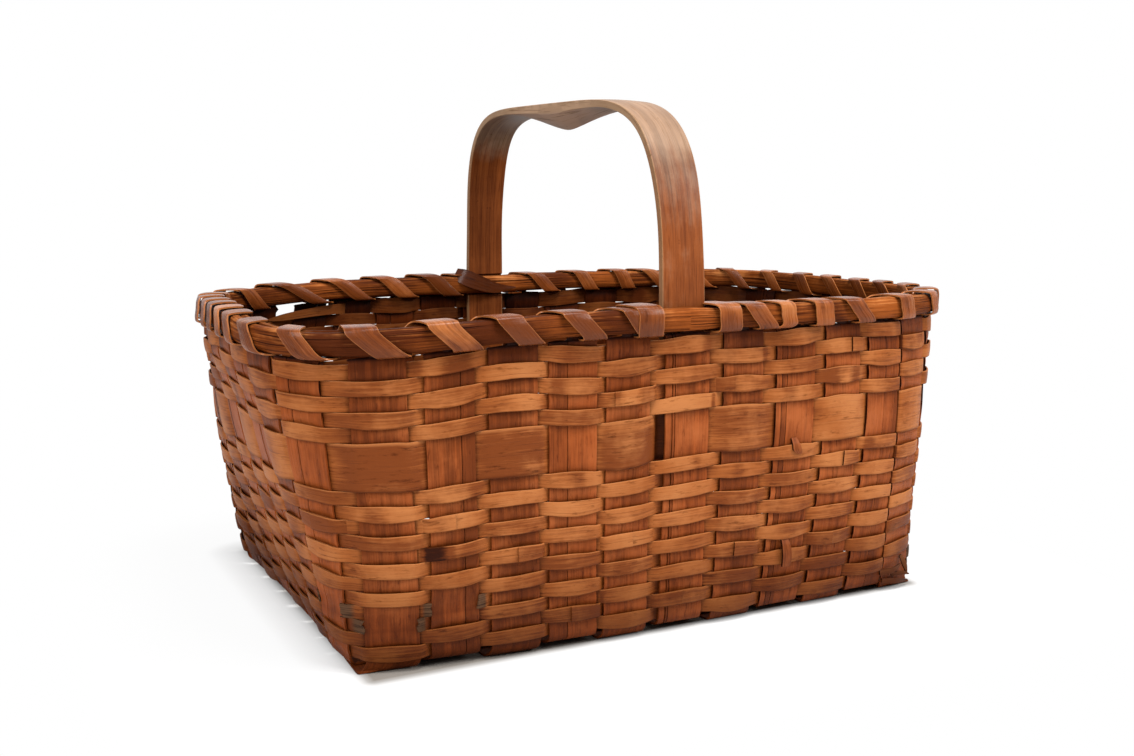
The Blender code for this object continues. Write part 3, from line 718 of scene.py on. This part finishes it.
# Stretches that are left of the worn weavers, counted in uprights from the front's middle.
WORN_WEAVERS = {
    3: ((32.34, 33.66), (34.34, 31.64 + UPRIGHTS)),
    2: ((33.35, 32.66 + UPRIGHTS),),
    17: ((23.64, 22.62 + UPRIGHTS),),
    1: ((5.5, 4.62 + UPRIGHTS),),
    0: ((5.34, 4.55 + UPRIGHTS),),
}
# Slow waves that all rows share, each row a little further along: wave, size, phase and drift.
DRIFTS = [
    (wave, SPLINTS.normal(0, 0.00034), SPLINTS.uniform(0, 6), SPLINTS.uniform(-0.3, 0.3))
    for wave in range(2, 16)
]


def random_waves(turns, size, low, high):
    waves = range(low, high)
    return sum(SPLINTS.normal(0, size) * np.sin(turns * wave + SPLINTS.uniform(0, 6)) for wave in waves)


def on_stops(values):
    return np.repeat(values, len(UPRIGHT_STOPS))


def woven(values):
    """A smooth closed curve through rows of values, with a row more between each two uprights."""
    grouped = values.reshape(UPRIGHTS, len(UPRIGHT_STOPS), *values.shape[1:])
    between = (np.roll(grouped[:, -1:], 1, axis=0) + grouped[:, :1]) / 2
    rows = np.concatenate([between, grouped], 1).reshape(-1, *values.shape[1:])
    return eased(rows, SMOOTH, closed=True)


def weaver_rows(row, shade_spots):
    """Rows of points right round one weaver, how proud and how pale each is, and where in uprights."""
    low, high = ROW_EDGES[row], ROW_EDGES[row + 1]
    across = np.tile(UPRIGHT_STOPS, UPRIGHTS)
    crown = 1 - across ** 2
    upright = on_stops(np.arange(UPRIGHTS))
    outside = np.where(passes_outside(row, upright), 1, -1)
    bow = on_stops(np.clip(SPLINTS.normal(WEAVE_BOW, BOW_SPREAD, UPRIGHTS), LEAST_BOW, MOST_BOW))
    bow = np.where(np.isin(upright, HANDLE_UPRIGHTS) & (outside < 0), 0, bow)
    offset = outside * (WEAVE_REST * (1 - 0.08 * across ** 8) + bow * crown)
    if row == LOWER_ROWS:
        # The wide weaver dives in at the left of the middle stake, behind its missing edge.
        offset[(upright == UPRIGHTS - 1) & (across == 1)] = 0.0002
        offset[(upright == 0) & (across == -1)] = -0.0044
    turns = np.arange(len(upright)) / len(upright) * 2 * math.pi
    waves = [size * np.sin(turns * wave + phase + row * drift) for wave, size, phase, drift in DRIFTS]
    swells = random_waves(turns, 0.00009, 3, 34)
    slips = on_stops(SPLINTS.normal(0, 0.00033, UPRIGHTS)) * crown
    half = (high - low) / 2 - 0.00012 + WEAVER_MIDDLE_SWELL * crown + swells * (0.1 + crown)
    middle = (low + high) / 2 + sum(waves) + slips
    if row == ROWS - 1:
        at_back = np.clip(1 - (np.abs(upright - UPRIGHTS / 2) - 10) / 3, 0, 1)
        middle, half = middle + TOP_ROW_RISE * at_back, half + TOP_ROW_RISE * at_back
    rows = []
    for column in WEAVER_COLUMNS:
        cup = WEAVER_CUP * (1 - column ** 2)
        rows.append(on_upright(upright, across, middle + column * half, offset + cup * outside))
    rows = woven(np.stack(rows, 1))
    # How far out each place stands sets its painted shade: a weaver is darkened where it passes in behind
    # an upright.
    proud = woven(np.clip(0.5 + offset / (2 * MOST_OUT), 0, 1)[:, None])
    tones = on_stops(SPLINTS.normal(0, 0.11, UPRIGHTS))[:, None]
    tone = SPLINTS.uniform(-0.13, 0.11) + woven(tones)
    along = np.arange(len(rows)) / len(rows) * UPRIGHTS - 0.5
    stains = SPLINTS.uniform((0, 0.05, -0.4), (UPRIGHTS, 0.16, -0.15), (STAINS, 3))
    for place, reach, change in (*shade_spots, *stains):
        gap = np.abs((along - place + UPRIGHTS / 2) % UPRIGHTS - UPRIGHTS / 2)
        tone = tone + change * np.clip(1.6 - gap / reach, 0, 1)[:, None]
    return rows, proud, tone, along


def loose_end(path):
    """A strip that hangs in the air, through places in space with its half width at each."""
    path = eased(path, 5)
    ahead = np.gradient(path[:, :3], axis=0)
    aside = unit(np.stack([-ahead[:, 2], 0 * ahead[:, 0], ahead[:, 0]], -1)) * path[:, 3:]
    return path[:, None, :3] + aside[:, None] * np.array([-1, -0.3, 0.3, 1])[:, None]


# The top weaver's broken end, which has sprung inwards at the back: place in space and half width.
BROKEN_END = (
    (-0.112, 0.1445, 0.1722, 0.0038), (-0.126, 0.14, 0.1726, 0.0036), (-0.146, 0.1365, 0.1716, 0.0031),
    (-0.164, 0.1345, 0.17, 0.0024), (-0.178, 0.134, 0.1684, 0.0004),
)
# Torn ends of the lowest weaver, where the front right corner has frayed.
FRAYED_ENDS = (
    ((0.154, -0.1405, 0.013, 0.0022), (0.164, -0.142, 0.0138, 0.0018), (0.172, -0.14, 0.016, 0.0005)),
    ((0.156, -0.14, 0.007, 0.0016), (0.168, -0.141, 0.0056, 0.0018), (0.18, -0.137, 0.0036, 0.0004)),
    ((0.174, -0.1386, 0.0215, 0.0013), (0.1765, -0.139, 0.015, 0.0018), (0.177, -0.14, 0.0095, 0.0005)),
    ((0.164, -0.1395, 0.0098, 0.0012), (0.172, -0.141, 0.0106, 0.0014), (0.178, -0.141, 0.009, 0.0004)),
)
# Where a weaver's ends lap: row and the upright that the upper end starts on.
LAPS = {1: 36, 4: 1, 6: 35, 9: 32, 10: 3, 14: 37, 16: 3, 8: 13, 5: 16, 15: 24, 11: 20, 3: 26}
LAP_LENGTH = 2.1  # in uprights
LAP_CLEARANCE = 0.0002
ROW_GRAIN = 5.3  # how far one row's grain is moved from the next one's


def weaver(name, row, material, shade_spots=()):
    rows, proud, tone, along = weaver_rows(row, shade_spots)
    # 1 along the upper edge and -1 along the lower one, where the shader paints a highlight and shade.
    edge = WEAVER_COLUMNS ** 9
    step = len(rows) / UPRIGHTS
    closed = row not in WORN_WEAVERS
    meshes = []
    for start, stop in WORN_WEAVERS.get(row, ((-0.5, UPRIGHTS - 0.5),)):
        chosen = np.arange(round((start + 0.5) * step), round((stop + 0.5) * step)) % len(rows)
        points = rows[chosen]
        weathered = 0
        if not closed:
            from_start = np.arange(len(chosen))
            from_end = np.minimum(from_start, from_start[::-1]) / step
            weathered = np.clip(1.5 - from_end / 0.16, 0, 1)[:, None]
            for end, inner in ((0, 1), (-1, -2)):
                torn = SPLINTS.uniform(0, 1.4, len(WEAVER_COLUMNS))[:, None]
                points[end] += (points[end] - points[inner]) * torn
        meshes.append(strip_mesh(
            points, closed, proud=proud[chosen], tone=tone[chosen], edge=edge, weathered=weathered,
            number=ROW_GRAIN * row + 11,
        ))
    if row == ROWS - 1:
        meshes.append(strip_mesh(loose_end(BROKEN_END), proud=0, tone=0.5, number=77))
    if row == 0:
        for path in FRAYED_ENDS:
            meshes.append(strip_mesh(loose_end(path), proud=0.9, tone=-0.2, number=78, weathered=0.4))
    if row in LAPS:
        first = round((LAPS[row] + SPLINTS.uniform(0.25, 0.6)) * step)
        chosen = np.arange(first, first + round(LAP_LENGTH * step)) % len(rows)
        over = np.clip((proud[chosen] - 0.5) * 6, -1, 1) * (WEAVER_THICKNESS + LAP_CLEARANCE)
        points = rows[chosen]
        points[..., :2] += from_wall(WALL_SIDES, along[chosen][:, None], points[..., 2]) * over[..., None]
        points[..., 2] += 0.0003
        meshes.append(strip_mesh(
            points, proud=proud[chosen], tone=tone[chosen] - 0.12, edge=edge, number=ROW_GRAIN * row + 14
        ))
    piece = joined(name, meshes, material)
    thickened(piece, WEAVER_THICKNESS)
    worn_edges(piece, 0.00016)
    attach(piece, "root")
    return piece


weaver_wood = splint_wood(
    "weaver_wood", dark=(0.19, 0.045, 0.009), plain=(0.35, 0.099, 0.022), light=(0.5, 0.18, 0.056),
    streaks=0.35,
)
# Paler and darker places that can be seen along single weavers: row, then place, reach, change.
# The darkening of the wide weaver at upright 33, at the left of the front, is painted shade.
SHADE_SPOTS = {
    13: ((0.1, 0.55, 0.45), (0.42, 0.05, -0.7)),
    16: ((35, 0.5, 0.2),),
    12: ((3, 0.5, 0.25), (1, 0.5, -0.18), (37, 0.5, -0.14), (33, 0.6, -0.24), (35, 0.5, -0.1)),
    14: ((37, 0.1, 0.5),),
    7: ((33.68, 0.19, -1.5),),
}
for row in range(ROWS):
    node = "wide_weaver" if row == LOWER_ROWS else f"weaver_{row + 1:02d}"
    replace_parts(weaver(f"splint_{node}", row, weaver_wood, SHADE_SPOTS.get(row, ())), node)


# Hoops: two long ash strips, split and shaved half-round, one outside the uprights' tops and one
# inside. The inner one bends in round the handle's legs. Only the lashing clamps them.
HOOP_HEIGHT, HOOP_THICKNESS = 0.013, 0.006
SHAVED_SHARE = 0.93  # of the thickness, on average
HOOP_MIDDLE = HOOP_BOTTOM + HOOP_HEIGHT / 2
HOOP_SEAT, LEG_SEAT = 0.001, 0.0058  # from the uprights' middle to a hoop's flat side, and at a leg
LEG_REACH = 0.015
HOOP_STEPS = 10  # places for each upright
HOOP_ROUNDNESS, HOOP_SHOULDERS = 0.4, 0.9  # powers of the section's half circle
RIDGE = 0.00012


def near_leg(upright):
    """1 where a handle leg is under the inner hoop, falling to 0 one step of the uprights away."""
    gap = np.abs((np.asarray(upright) + UPRIGHTS / 4) % (UPRIGHTS / 2) - UPRIGHTS / 4) * RIM_STEP
    share = np.clip((gap - LEG_REACH) / RIM_STEP, 0, 1)
    return 1 - share ** 2 * (3 - 2 * share)


def rim_points(upright, offset, z):
    """Points beside the rim: a place along it in uprights, a distance outside them, a height."""
    upright, offset, z = np.broadcast_arrays(upright, offset, z)
    side = from_wall(WALL_SIDES, upright, HOOP_BOTTOM)
    flat = from_wall(WALL_PLACES, upright, HOOP_BOTTOM) + side * offset[..., None]
    return np.concatenate([flat, z[..., None]], -1)


def hoop(name, side, material):
    """side is 1 for the outer hoop and -1 for the inner one."""
    upright = np.arange(UPRIGHTS * HOOP_STEPS) / HOOP_STEPS
    round_rim = upright / UPRIGHTS * 2 * math.pi
    thickness = HOOP_THICKNESS * SHAVED_SHARE + random_waves(round_rim, 0.00008, 3, 24)
    half = HOOP_HEIGHT / 2 + random_waves(round_rim, 0.00006, 3, 30)
    sway = random_waves(round_rim, 0.00012, 2, 9)
    seat = HOOP_SEAT + (LEG_SEAT - HOOP_SEAT) * near_leg(upright) * (side < 0)
    turns = np.radians([-90, -78, -60, -40, -20, 0, 20, 40, 60, 78, 90])
    out = np.abs(np.cos(turns)) ** HOOP_ROUNDNESS
    rise = np.sign(turns) * np.abs(np.sin(turns)) ** HOOP_SHOULDERS
    out, rise = np.append(out, [0, out[0]]), np.append(rise, [0, rise[0]])
    ridges = SPLINTS.normal(0, RIDGE, len(out))
    ridges[-1], ridges[-2] = ridges[0], 0
    offset = side * (seat[:, None] + thickness[:, None] * out + ridges * out)
    height = HOOP_MIDDLE + sway[:, None] + half[:, None] * rise
    # Random tone along the hoop, and painted shade over the left of the front, round upright 33.
    tone = 0.05 * random_waves(round_rim, 0.5, 4, 20) - 0.3 * np.exp(-((upright - 33) / 2) ** 2)
    piece = joined(name, [strip_mesh(
        rim_points(upright[:, None], offset, height),
        closed=True,
        proud=np.clip(0.35 + 0.6 * rise, 0, 1),
        tone=tone[:, None],
        number=3 + side,
    )], material)
    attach(piece, "root")
    return piece


def shaved_wood(name, dark, plain, light, grooves=0.8, roughness=0.55):
    """Split and shaved ash, unsanded: long ridges with dark hollows between them."""
    finish = Finish(name)
    along = finish.numbered_grain()
    ridges = finish.noise(along, (14, 700, 1), 4, 0.7)
    fibres = finish.noise(along, (40, 2400, 1), 4, 0.6)
    broad = finish.noise(along, (7, 130, 1), 3)
    patches = finish.noise(finish.place(), 34, 4, 0.6)
    proud = finish.attribute("proud")
    tone = finish.attribute("tone")
    pale = (ridges * 0.9 + fibres * 0.5 + broad * 0.35 + patches * 0.4 - 0.85 + tone).between(0, 0.5)
    colour = finish.blend(pale, dark, plain)
    rubbed = (ridges - 0.5) * 1.1 + (patches - 0.5) * 0.9 + proud * 0.25
    colour = finish.blend(rubbed.between(0.18, 0.62), colour, light)
    hollows = (1 - ridges).between(0.52, 0.66) * grooves
    cracks = finish.noise(along, (9, 900, 2), 1, 0.3).between(0.66, 0.71)
    finish.feed("Base Color", finish.shaded(colour, (1 - hollows * 0.6) * (1 - cracks * 0.8)))
    finish.feed("Specular IOR Level", 0.03)
    finish.feed("Roughness", roughness + (fibres - 0.5) * 0.25)
    finish.bump(ridges * 0.8 + fibres * 0.4 - cracks * 0.8, 0.8, 0.0007)
    return finish.material


hoop_wood = shaved_wood(
    "hoop_wood", dark=(0.055, 0.011, 0.002), plain=(0.23, 0.056, 0.009), light=(0.5, 0.188, 0.056)
)
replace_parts(hoop("outer_rim_hoop", 1, hoop_wood), "outer_hoop")
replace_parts(hoop("inner_rim_hoop", -1, hoop_wood), "inner_hoop")


# Lashing: two thin ash strips wound round both hoops, from one leg of the handle to the other. Each
# turn slants down the outside, goes in below the hoops between two uprights and comes back over.
LASHING_THICKNESS = 0.0009
LASHING_COLUMNS = np.array([-1, -0.93, -0.3, 0.3, 0.93, 1])
LASHING_BEND = 0.002
LASHING_CUP = 0.0006
FACE_CLEARANCE, EDGE_CLEARANCE = 0.0004, 0.0003
REACH_THROUGH = 0.22  # how far from the middle of a gap a turn may pass, in uprights
# Where each turn crosses the outer hoop's face, in uprights from the near leg, and its slant and
# half width in millimetres.
RIGHT_TURNS = (
    (0.74, 1.5, 7.4), (1.38, 9, 6.8), (1.92, 2, 5.2), (2.68, 2, 6.6), (3.5, 9.5, 6.6), (4.68, 3, 6.2),
    (5.7, 4, 6), (6.5, 6, 6), (7.5, 5, 6), (8.35, 6, 5.6), (9.1, 6, 6), (10, 6, 6.4), (10.9, 5, 6),
    (12, 6, 6), (13.1, 6, 6), (14.2, 6, 6.2), (15.2, 6, 6), (15.9, 6, 6), (16.95, 6, 6.4), (18.1, 4, 6),
)
LEFT_TURNS = (
    (19.75, 6, 6.8), (20.6, 8, 7.4), (21.65, 8, 7.2), (22.8, 8, 7.4), (24.1, 8, 7.4), (25.2, 6, 6.6),
    (26.2, 6, 6), (27.1, 6, 6.2), (28, 7, 6), (28.65, 7, 5.6), (29.35, 8, 5.8), (30.05, 8, 6),
    (30.9, 8, 6.2), (31.93, 8.5, 6.4), (32.95, 11, 7.6), (34.03, 10.5, 7.6), (35, 9.5, 7.2),
    (36.07, 10.5, 7.2), (37.02, 8, 5.4), (37.22, 0.5, 8),
)
# The left strip's tail, tucked past the back leg and sprung loose: place in space and half width.
LOOSE_TAIL = (
    (-0.023, 0.14, 0.195, 0.004), (-0.019, 0.1345, 0.1928, 0.0056), (-0.012, 0.131, 0.1896, 0.0058),
    (-0.002, 0.129, 0.1858, 0.005), (0.008, 0.1285, 0.1834, 0.0034), (0.0225, 0.1295, 0.1836, 0.0004),
)


def leans(turn):
    """Half of a turn's slant, in uprights."""
    return turn[1] / 1000 / RIM_STEP / 2


def lashing_path(turns):
    """Control points along a lashing's middle: place in uprights, distance out, height, half width."""
    out = HOOP_SEAT + HOOP_THICKNESS + FACE_CLEARANCE + LASHING_THICKNESS / 2
    top = HOOP_BOTTOM + HOOP_HEIGHT + EDGE_CLEARANCE + LASHING_THICKNESS / 2
    bottom = HOOP_BOTTOM - EDGE_CLEARANCE - LASHING_THICKNESS / 2
    bend = LASHING_BEND
    path = []
    for turn, after in zip(turns, (*turns[1:], None)):
        centre, _, half = turn
        lean = leans(turn)
        gap = math.floor(centre + lean + 0.05) + 0.5
        through = np.clip(centre + lean + 0.05, gap - REACH_THROUGH, gap + REACH_THROUGH)
        # The widest turns stand off the most.
        lift = SPLINTS.uniform(0, 0.0005) + 0.0012 * np.clip((half - 6.4) / 1.6, 0, 1)
        path += [
            (centre - lean - 0.16, -out + bend, top + lift, half),
            (centre - lean - 0.04, out - bend, top + lift, half),
            (centre - lean + 0.01, out + lift * 0.6, top - bend, half),
            (centre, out + lift, HOOP_MIDDLE, half),
            (centre + lean, out + lift * 0.4, bottom + bend, half),
            (mix(centre + lean, through, 0.6), out - bend, bottom - lift * 0.5, half),
            (through, -out + bend, bottom - lift * 0.5, half),
        ]
        if after:
            over = after[0] - leans(after) - 0.16
            path += [
                (mix(through, over, 0.22), -out, bottom + bend, half),
                (mix(through, over, 0.72), -out, top - bend, half),
            ]
    return np.array(path)


def lashing(name, turns, material):
    path = eased(lashing_path(turns), 2 * SMOOTH)
    upright, offset, z, half = (path[:, i:i + 1] for i in range(4))
    places = upright + half / 1000 / RIM_STEP * LASHING_COLUMNS
    height = (z - HOOP_BOTTOM) / HOOP_HEIGHT
    cup = LASHING_CUP * (1 - LASHING_COLUMNS ** 2)
    seated = (LEG_SEAT - HOOP_SEAT) * near_leg(places) * np.clip(0.5 - offset / 0.008, 0, 1)
    tones = np.interp(np.arange(len(path)), np.linspace(0, len(path), 80), SPLINTS.normal(0, 0.12, 80))
    meshes = [strip_mesh(
        rim_points(places, offset + np.sign(offset) * cup - seated, z),
        # Painted light: turns are paler higher on the hoops, darker low and inside them, and both edges
        # carry a painted highlight.
        proud=np.clip(0.35 + 0.5 * height, 0, 1) * np.where(offset < 0, 0.8, 1),
        tone=tones[:, None] - 0.1 * (turns is LEFT_TURNS),
        edge=np.abs(LASHING_COLUMNS) ** 20,
        number=70 + turns[0][0],
    )]
    if turns is LEFT_TURNS:
        meshes.append(strip_mesh(loose_end(LOOSE_TAIL), proud=0.25, tone=-0.55, number=81))
    piece = joined(name, meshes, material)
    thickened(piece, LASHING_THICKNESS)
    worn_edges(piece, 0.00015)
    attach(piece, "root")
    return piece


lashing_wood = splint_wood(
    "lashing_wood", dark=(0.14, 0.032, 0.006), plain=(0.29, 0.072, 0.014), light=(0.48, 0.168, 0.05),
    streaks=0.2, grain=0.5, roughness=0.3, shine=0.14, woven=False,
)
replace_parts(lashing("right_rim_lashing", RIGHT_TURNS, lashing_wood), "right_lashing")
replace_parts(lashing("left_rim_lashing", LEFT_TURNS, lashing_wood), "left_lashing")


# Handle: one strap of ash, shaved flat, steamed and bent. It is left thick under the middle for a
# hand's grip. Its legs go down inside the wall, notched for the inner hoop, and the weave holds them.
HANDLE_WIDTH, HANDLE_THICKNESS, HANDLE_ASIDE = 0.0285, 0.0048, 0.0014
HANDLE_FOOT, HANDLE_ARCH, HANDLE_HALF = 0.107, 0.2078, 0.1438
HANDLE_POWER, FAR_HANDLE_POWER = 4.7, 6
HANDLE_TILT = 0.0075  # the top's slope up towards the back
NOTCH_BOTTOM, NOTCH_TOP, NOTCH_STEP, NOTCH_LEFT = 0.1782, 0.1938, 0.0004, 0.003
TAIL_TAPER, TAIL_TIP_WIDTH, TAIL_TIP_THICKNESS = 0.016, 0.02, 0.003
GRIP_HALF_LENGTH, GRIP_DEPTH, GRIP_ROOT = 0.0625, 0.0128, 0.28
HANDLE_CROWN = 0.0005
OUTER_COLUMNS = (-1, -0.92, -0.5, 0, 0.5, 0.92, 1)
INNER_COLUMNS = OUTER_COLUMNS[::-1]


def handle(name, material):
    turns = np.linspace(0, math.pi, 4001)
    power = 2 / np.where(turns < math.pi / 2, HANDLE_POWER, FAR_HANDLE_POWER)
    y = -HANDLE_HALF * np.sign(np.cos(turns)) * np.abs(np.cos(turns)) ** power
    z = HANDLE_FOOT + HANDLE_ARCH * np.sin(turns) ** power
    z = z + HANDLE_TILT * y * np.clip((z - 0.22) / 0.06, 0, 1)
    points = np.stack([y, z], -1)
    run = distances(np.hypot(*np.diff(points, axis=0).T))
    levels = (NOTCH_BOTTOM, NOTCH_BOTTOM + NOTCH_STEP, NOTCH_TOP - NOTCH_STEP, NOTCH_TOP)
    near_marks = np.array([np.interp(level, z[:1500], run[:1500]) for level in levels])
    marks = np.concatenate([near_marks, run[-1] - near_marks])
    even = np.linspace(0, run[-1], 150)
    even = even[np.min(np.abs(even[:, None] - marks), axis=1) > 0.0015]
    at = np.sort(np.concatenate([even, marks]))
    middle, before, after = (read_along(points, run, at + d) for d in (0, -0.001, 0.001))
    ahead = unit(after - before)
    inward = np.stack([ahead[:, 1], -ahead[:, 0]], -1)
    inward *= np.sign(np.sum(inward * (np.array([0, 0.18]) - middle), axis=1))[:, None]
    taper = np.clip(np.minimum(at, run[-1] - at) / TAIL_TAPER, 0, 1)
    level = middle[:, 1]
    notched = (level > NOTCH_BOTTOM + NOTCH_STEP / 2) & (level < NOTCH_TOP - NOTCH_STEP / 2)
    thick = np.where(notched, NOTCH_LEFT, mix(TAIL_TIP_THICKNESS, HANDLE_THICKNESS, taper))
    wide = mix(TAIL_TIP_WIDTH, HANDLE_WIDTH, taper ** 0.5)
    wide = wide + 0.0005 * np.sin(at * 31 + 1) + 0.0003 * np.sin(at * 83)
    swell = 1.13 - np.sqrt(0.017 + (middle[:, 0] / GRIP_HALF_LENGTH) ** 2)
    grip = np.clip(swell, 0, 1) * (level > GRIP_ROOT)
    lanes = [(place, np.full(len(at), HANDLE_CROWN * place ** 2)) for place in OUTER_COLUMNS]
    lanes += [(place, thick + GRIP_DEPTH * grip * min(1.15 - abs(place), 1)) for place in INNER_COLUMNS]
    rows = []
    for place, depth in (*lanes, lanes[0]):
        flat = middle + inward * depth[:, None]
        rows.append(np.concatenate([(HANDLE_ASIDE + place * wide / 2)[:, None], flat], -1))
    sides = len(OUTER_COLUMNS), len(INNER_COLUMNS) + 1
    # The strap turns greyer, with a painted sheen, from these heights over these rises, outside and
    # inside.
    worn_and_sheen_from, worn_and_sheen_over = np.repeat((0.235, 0.275), sides), np.repeat((0.055, 0.03), sides)
    piece = joined(name, [strip_mesh(
        np.stack(rows, 1),
        proud=np.clip((level[:, None] - worn_and_sheen_from) / worn_and_sheen_over, 0, 1),
        # 1 on the strap's edges, where the shader paints a highlight.
        edge=(1, 0.2, 0, 0, 0, 0.2, 1, 1, 0.2, 0, 0, 0, 0.2, 1, 1),
        tone=grip[:, None] * np.repeat((0, 1), sides),
        number=9,
    )], material, capped=True)
    worn_edges(piece, 0.0011, segments=3, sharp=55)
    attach(piece, "root")
    return piece


def handled_wood():
    """Ash worn smooth by hands: brown and oiled low down, greyer and drier over the top, with a painted
    sheen there and a painted highlight along its edges.
    """
    finish = Finish("handle_wood")
    along = finish.grain()
    place = finish.place()
    fibres = finish.noise(along, (26, 950, 1), 4, 0.65)
    broad = finish.noise(along, (6, 190, 1))
    scuffs = finish.noise(along, (60, 160, 1), 5, 0.7)
    patches = finish.noise(place, 19, 5, 0.6)
    specks = finish.noise(place, 260, 2, 0.5)
    pale = (fibres * 0.9 + broad * 0.7 + patches * 0.6 - 0.82).between(0, 0.5)
    colour = finish.blend(pale, (0.08, 0.017, 0.003), (0.205, 0.053, 0.011))
    # Greyer and paler over the top: partly worn that way, partly a painted sheen where the strap bends
    # over.
    worn = finish.attribute("proud") * 1.1 + (patches - 0.5) * 1.1 + (scuffs - 0.5) * 0.9
    worn_and_sheen_colour = finish.blend(pale, (0.16, 0.102, 0.066), (0.31, 0.203, 0.132))
    colour = finish.blend(worn.between(0.05, 1.1) * 0.85, colour, worn_and_sheen_colour)
    under = finish.attribute("tone").between(0, 0.5)
    colour = finish.blend(under * 0.6, colour, (0.56, 0.36, 0.25))
    # Painted highlight along the strap's edges.
    colour = finish.blend(finish.attribute("edge").between(0.4, 1) * 0.5, colour, (0.36, 0.21, 0.105))
    pits = specks.between(0.72, 0.78) * 0.35
    lines = fibres.between(0.54, 0.68) * (under * 0.3 + 0.5)
    finish.feed("Base Color", finish.shaded(colour, (1 - pits) * (1 - lines)))
    finish.feed("Specular IOR Level", 0.1)
    finish.feed("Roughness", 0.42 + (fibres - 0.5) * 0.25 + (patches - 0.5) * 0.2)
    finish.bump(fibres * 0.5 + broad * 0.4 - pits * 0.6, 0.4, 0.0005)
    return finish.material


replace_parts(handle("bent_handle", handled_wood()), "handle")
